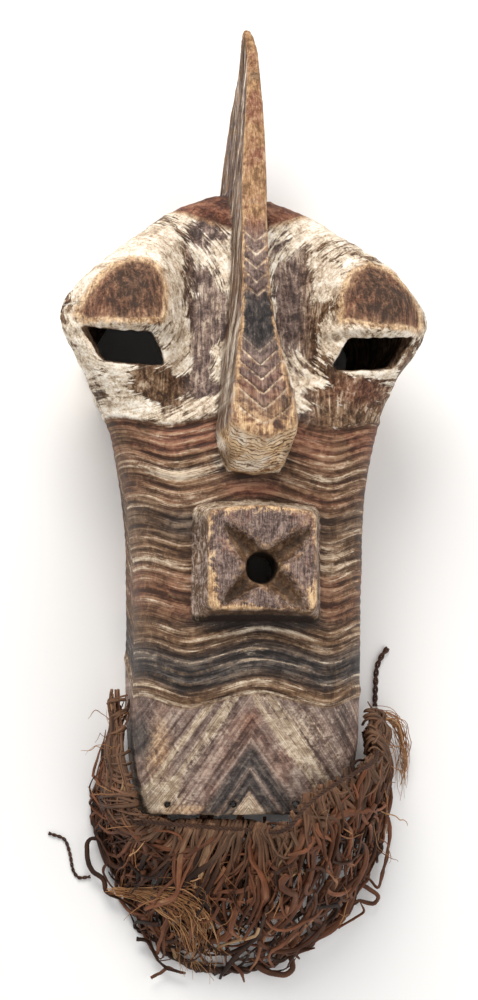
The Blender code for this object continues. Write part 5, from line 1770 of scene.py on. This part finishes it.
def paintMouth(n, a, rings):
    tone = n.toneOf((n.upright["Grain"], 0.7), (n.mottle, 0.8), (n.speck, 0.6), (n.patch, 0.5))
    front = n.coat(n.tones(tone, "greyMauve"), n.ranged(n.patch, 0.5, 0.64, 0.0, 0.5), tone, "redBrown")
    worn = n.jittered(n.jittered(a["mouthEdge"], n.mottle, 0.65), n.patch, 0.2)
    worn = n.ranged(n.plus(worn, a["goldAmount"], 0.18), 0.95, 1.05, 0.0, 0.9)
    front = n.coat(front, worn, n.plus(tone, a["edge"], 0.08), "golden")
    side = n.coat(n.tones(tone, "brown"), n.ranged(n.mottle, 0.4, 0.6), tone, "silvery")
    topLines = n.times(a["mouthTop"], rings, n.ranged(n.mottle, 0.34, 0.56, 0.25, 1.0))
    side = n.coat(side, topLines, n.plus(tone, a["edge"], 0.05), "white")
    block = n.blended(a["mouthFrontShare"], side, front)
    petalTone = n.math("SUBTRACT", n.toneOf((n.patch, 0.8), (n.mottle, 0.6), (n.speck, 0.4)), 0.04)
    block = n.coat(block, a["mouthHollow"], petalTone, "brown")
    # painted shadow on the block's underside and lower wall
    return n.blended(a["darkPaintAndShade"], block, maskPaint["paintedShade"])


def buildMaskMaterial(guideNames):
    material = bpy.data.materials.new("carvedPaintedWood")
    material.use_nodes = True
    n, p = MaskNodes(material.node_tree, guideNames), maskPaint
    a = n.guides
    shader = n.tree.nodes["Principled BSDF"].inputs
    colour = n.blended(n.inverse(n.ranged(n.level, 0.0765, 0.08)), paintCheeks(n, a), paintChin(n, a))
    brow, clay = paintBrows(n, a)
    browShare = n.ranged(n.browLevel, 0.3005, 0.3035)
    colour = paintCrown(n, n.blended(browShare, colour, brow))
    colour, lidShare = paintLids(n, a, colour)
    height = n.add("ShaderNodeSeparateXYZ", {0: n.place}).outputs[2]
    turns = n.plus(n.math("DIVIDE", height, p["ringPitch"]), n.noise(n.place, 70.0, 3.0), 4.0)
    rings = n.ranged(n.offLine(turns), 0.05, 0.2)
    colour = n.blended(a["bladeShare"], colour, paintBlade(n, a, rings))
    colour = n.blended(a["mouthShare"], colour, paintMouth(n, a, rings))

    # rubbed edges, painted shade in the grooves, and the bare hollow
    wear = n.use(edgeWearAndShade, {"Edge": a["edge"], "Vector": n.place, "Amount": 0.8})
    struck = n.math("MAXIMUM", a["bladeShare"], a["mouthShare"])
    worn = n.times(wear["Worn"], n.ranged(struck, 0.0, 1.0, 0.16, 0.5))
    colour = n.coat(colour, worn, n.frontTone, "golden")
    # painted shade: darker in the grooves and hollows, more so on nose, crest and mouth block
    shadedGrooves = n.times(wear["GrooveShade"], n.ranged(struck, 0.0, 1.0, 0.32, 0.55))
    colour = n.blended(shadedGrooves, colour, p["paintedShade"])
    hollowTone = n.toneOf((n.upright["Streak"], 1.1), (n.patch, 0.8), (n.mottle, 0.5))
    colour = n.coat(colour, a["insideShare"], hollowTone, "hollow")
    # painted shade: the mouth hole's wall darkened to near black
    deep = n.times(n.inverse(n.ranged(a["holeDistance"], 0.0118, 0.0135)), 0.85)
    n.feed(shader["Base Color"], n.blended(deep, colour, p["holeShade"]))

    shine = n.ranged(n.toneOf((n.mottle, 0.9), (n.strokes["Streak"], 0.5)), 0.2, 0.8, *p["shine"])
    n.feed(shader["Roughness"], n.plus(shine, n.times(browShare, clay), 0.18))
    shader["Specular IOR Level"].default_value = 0.22
    grooved = n.toneOf((n.strokes["Streak"], 1.0), (n.strokes["Grain"], 0.35), (n.speck, 0.25))
    chipped = n.toneOf((clay, 0.55), (n.mottle, 0.9), (n.speck, 0.3))
    whittled = n.toneOf((n.upright["Streak"], 1.0), (n.upright["Grain"], 0.4), (n.speck, 0.3))
    relief = n.mixed(browShare, grooved, chipped)
    relief = n.mixed(n.math("MAXIMUM", struck, lidShare), relief, whittled)
    bump = n.add("ShaderNodeBump", {"Height": relief, "Strength": 0.75, "Distance": p["reliefDepth"]})
    n.feed(shader["Normal"], bump.outputs["Normal"])
    return material


maskObject.data.materials.clear()
maskObject.data.materials.append(buildMaskMaterial(maskGuides))
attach(maskObject, "root")
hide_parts("mask")
print("mask: painted")
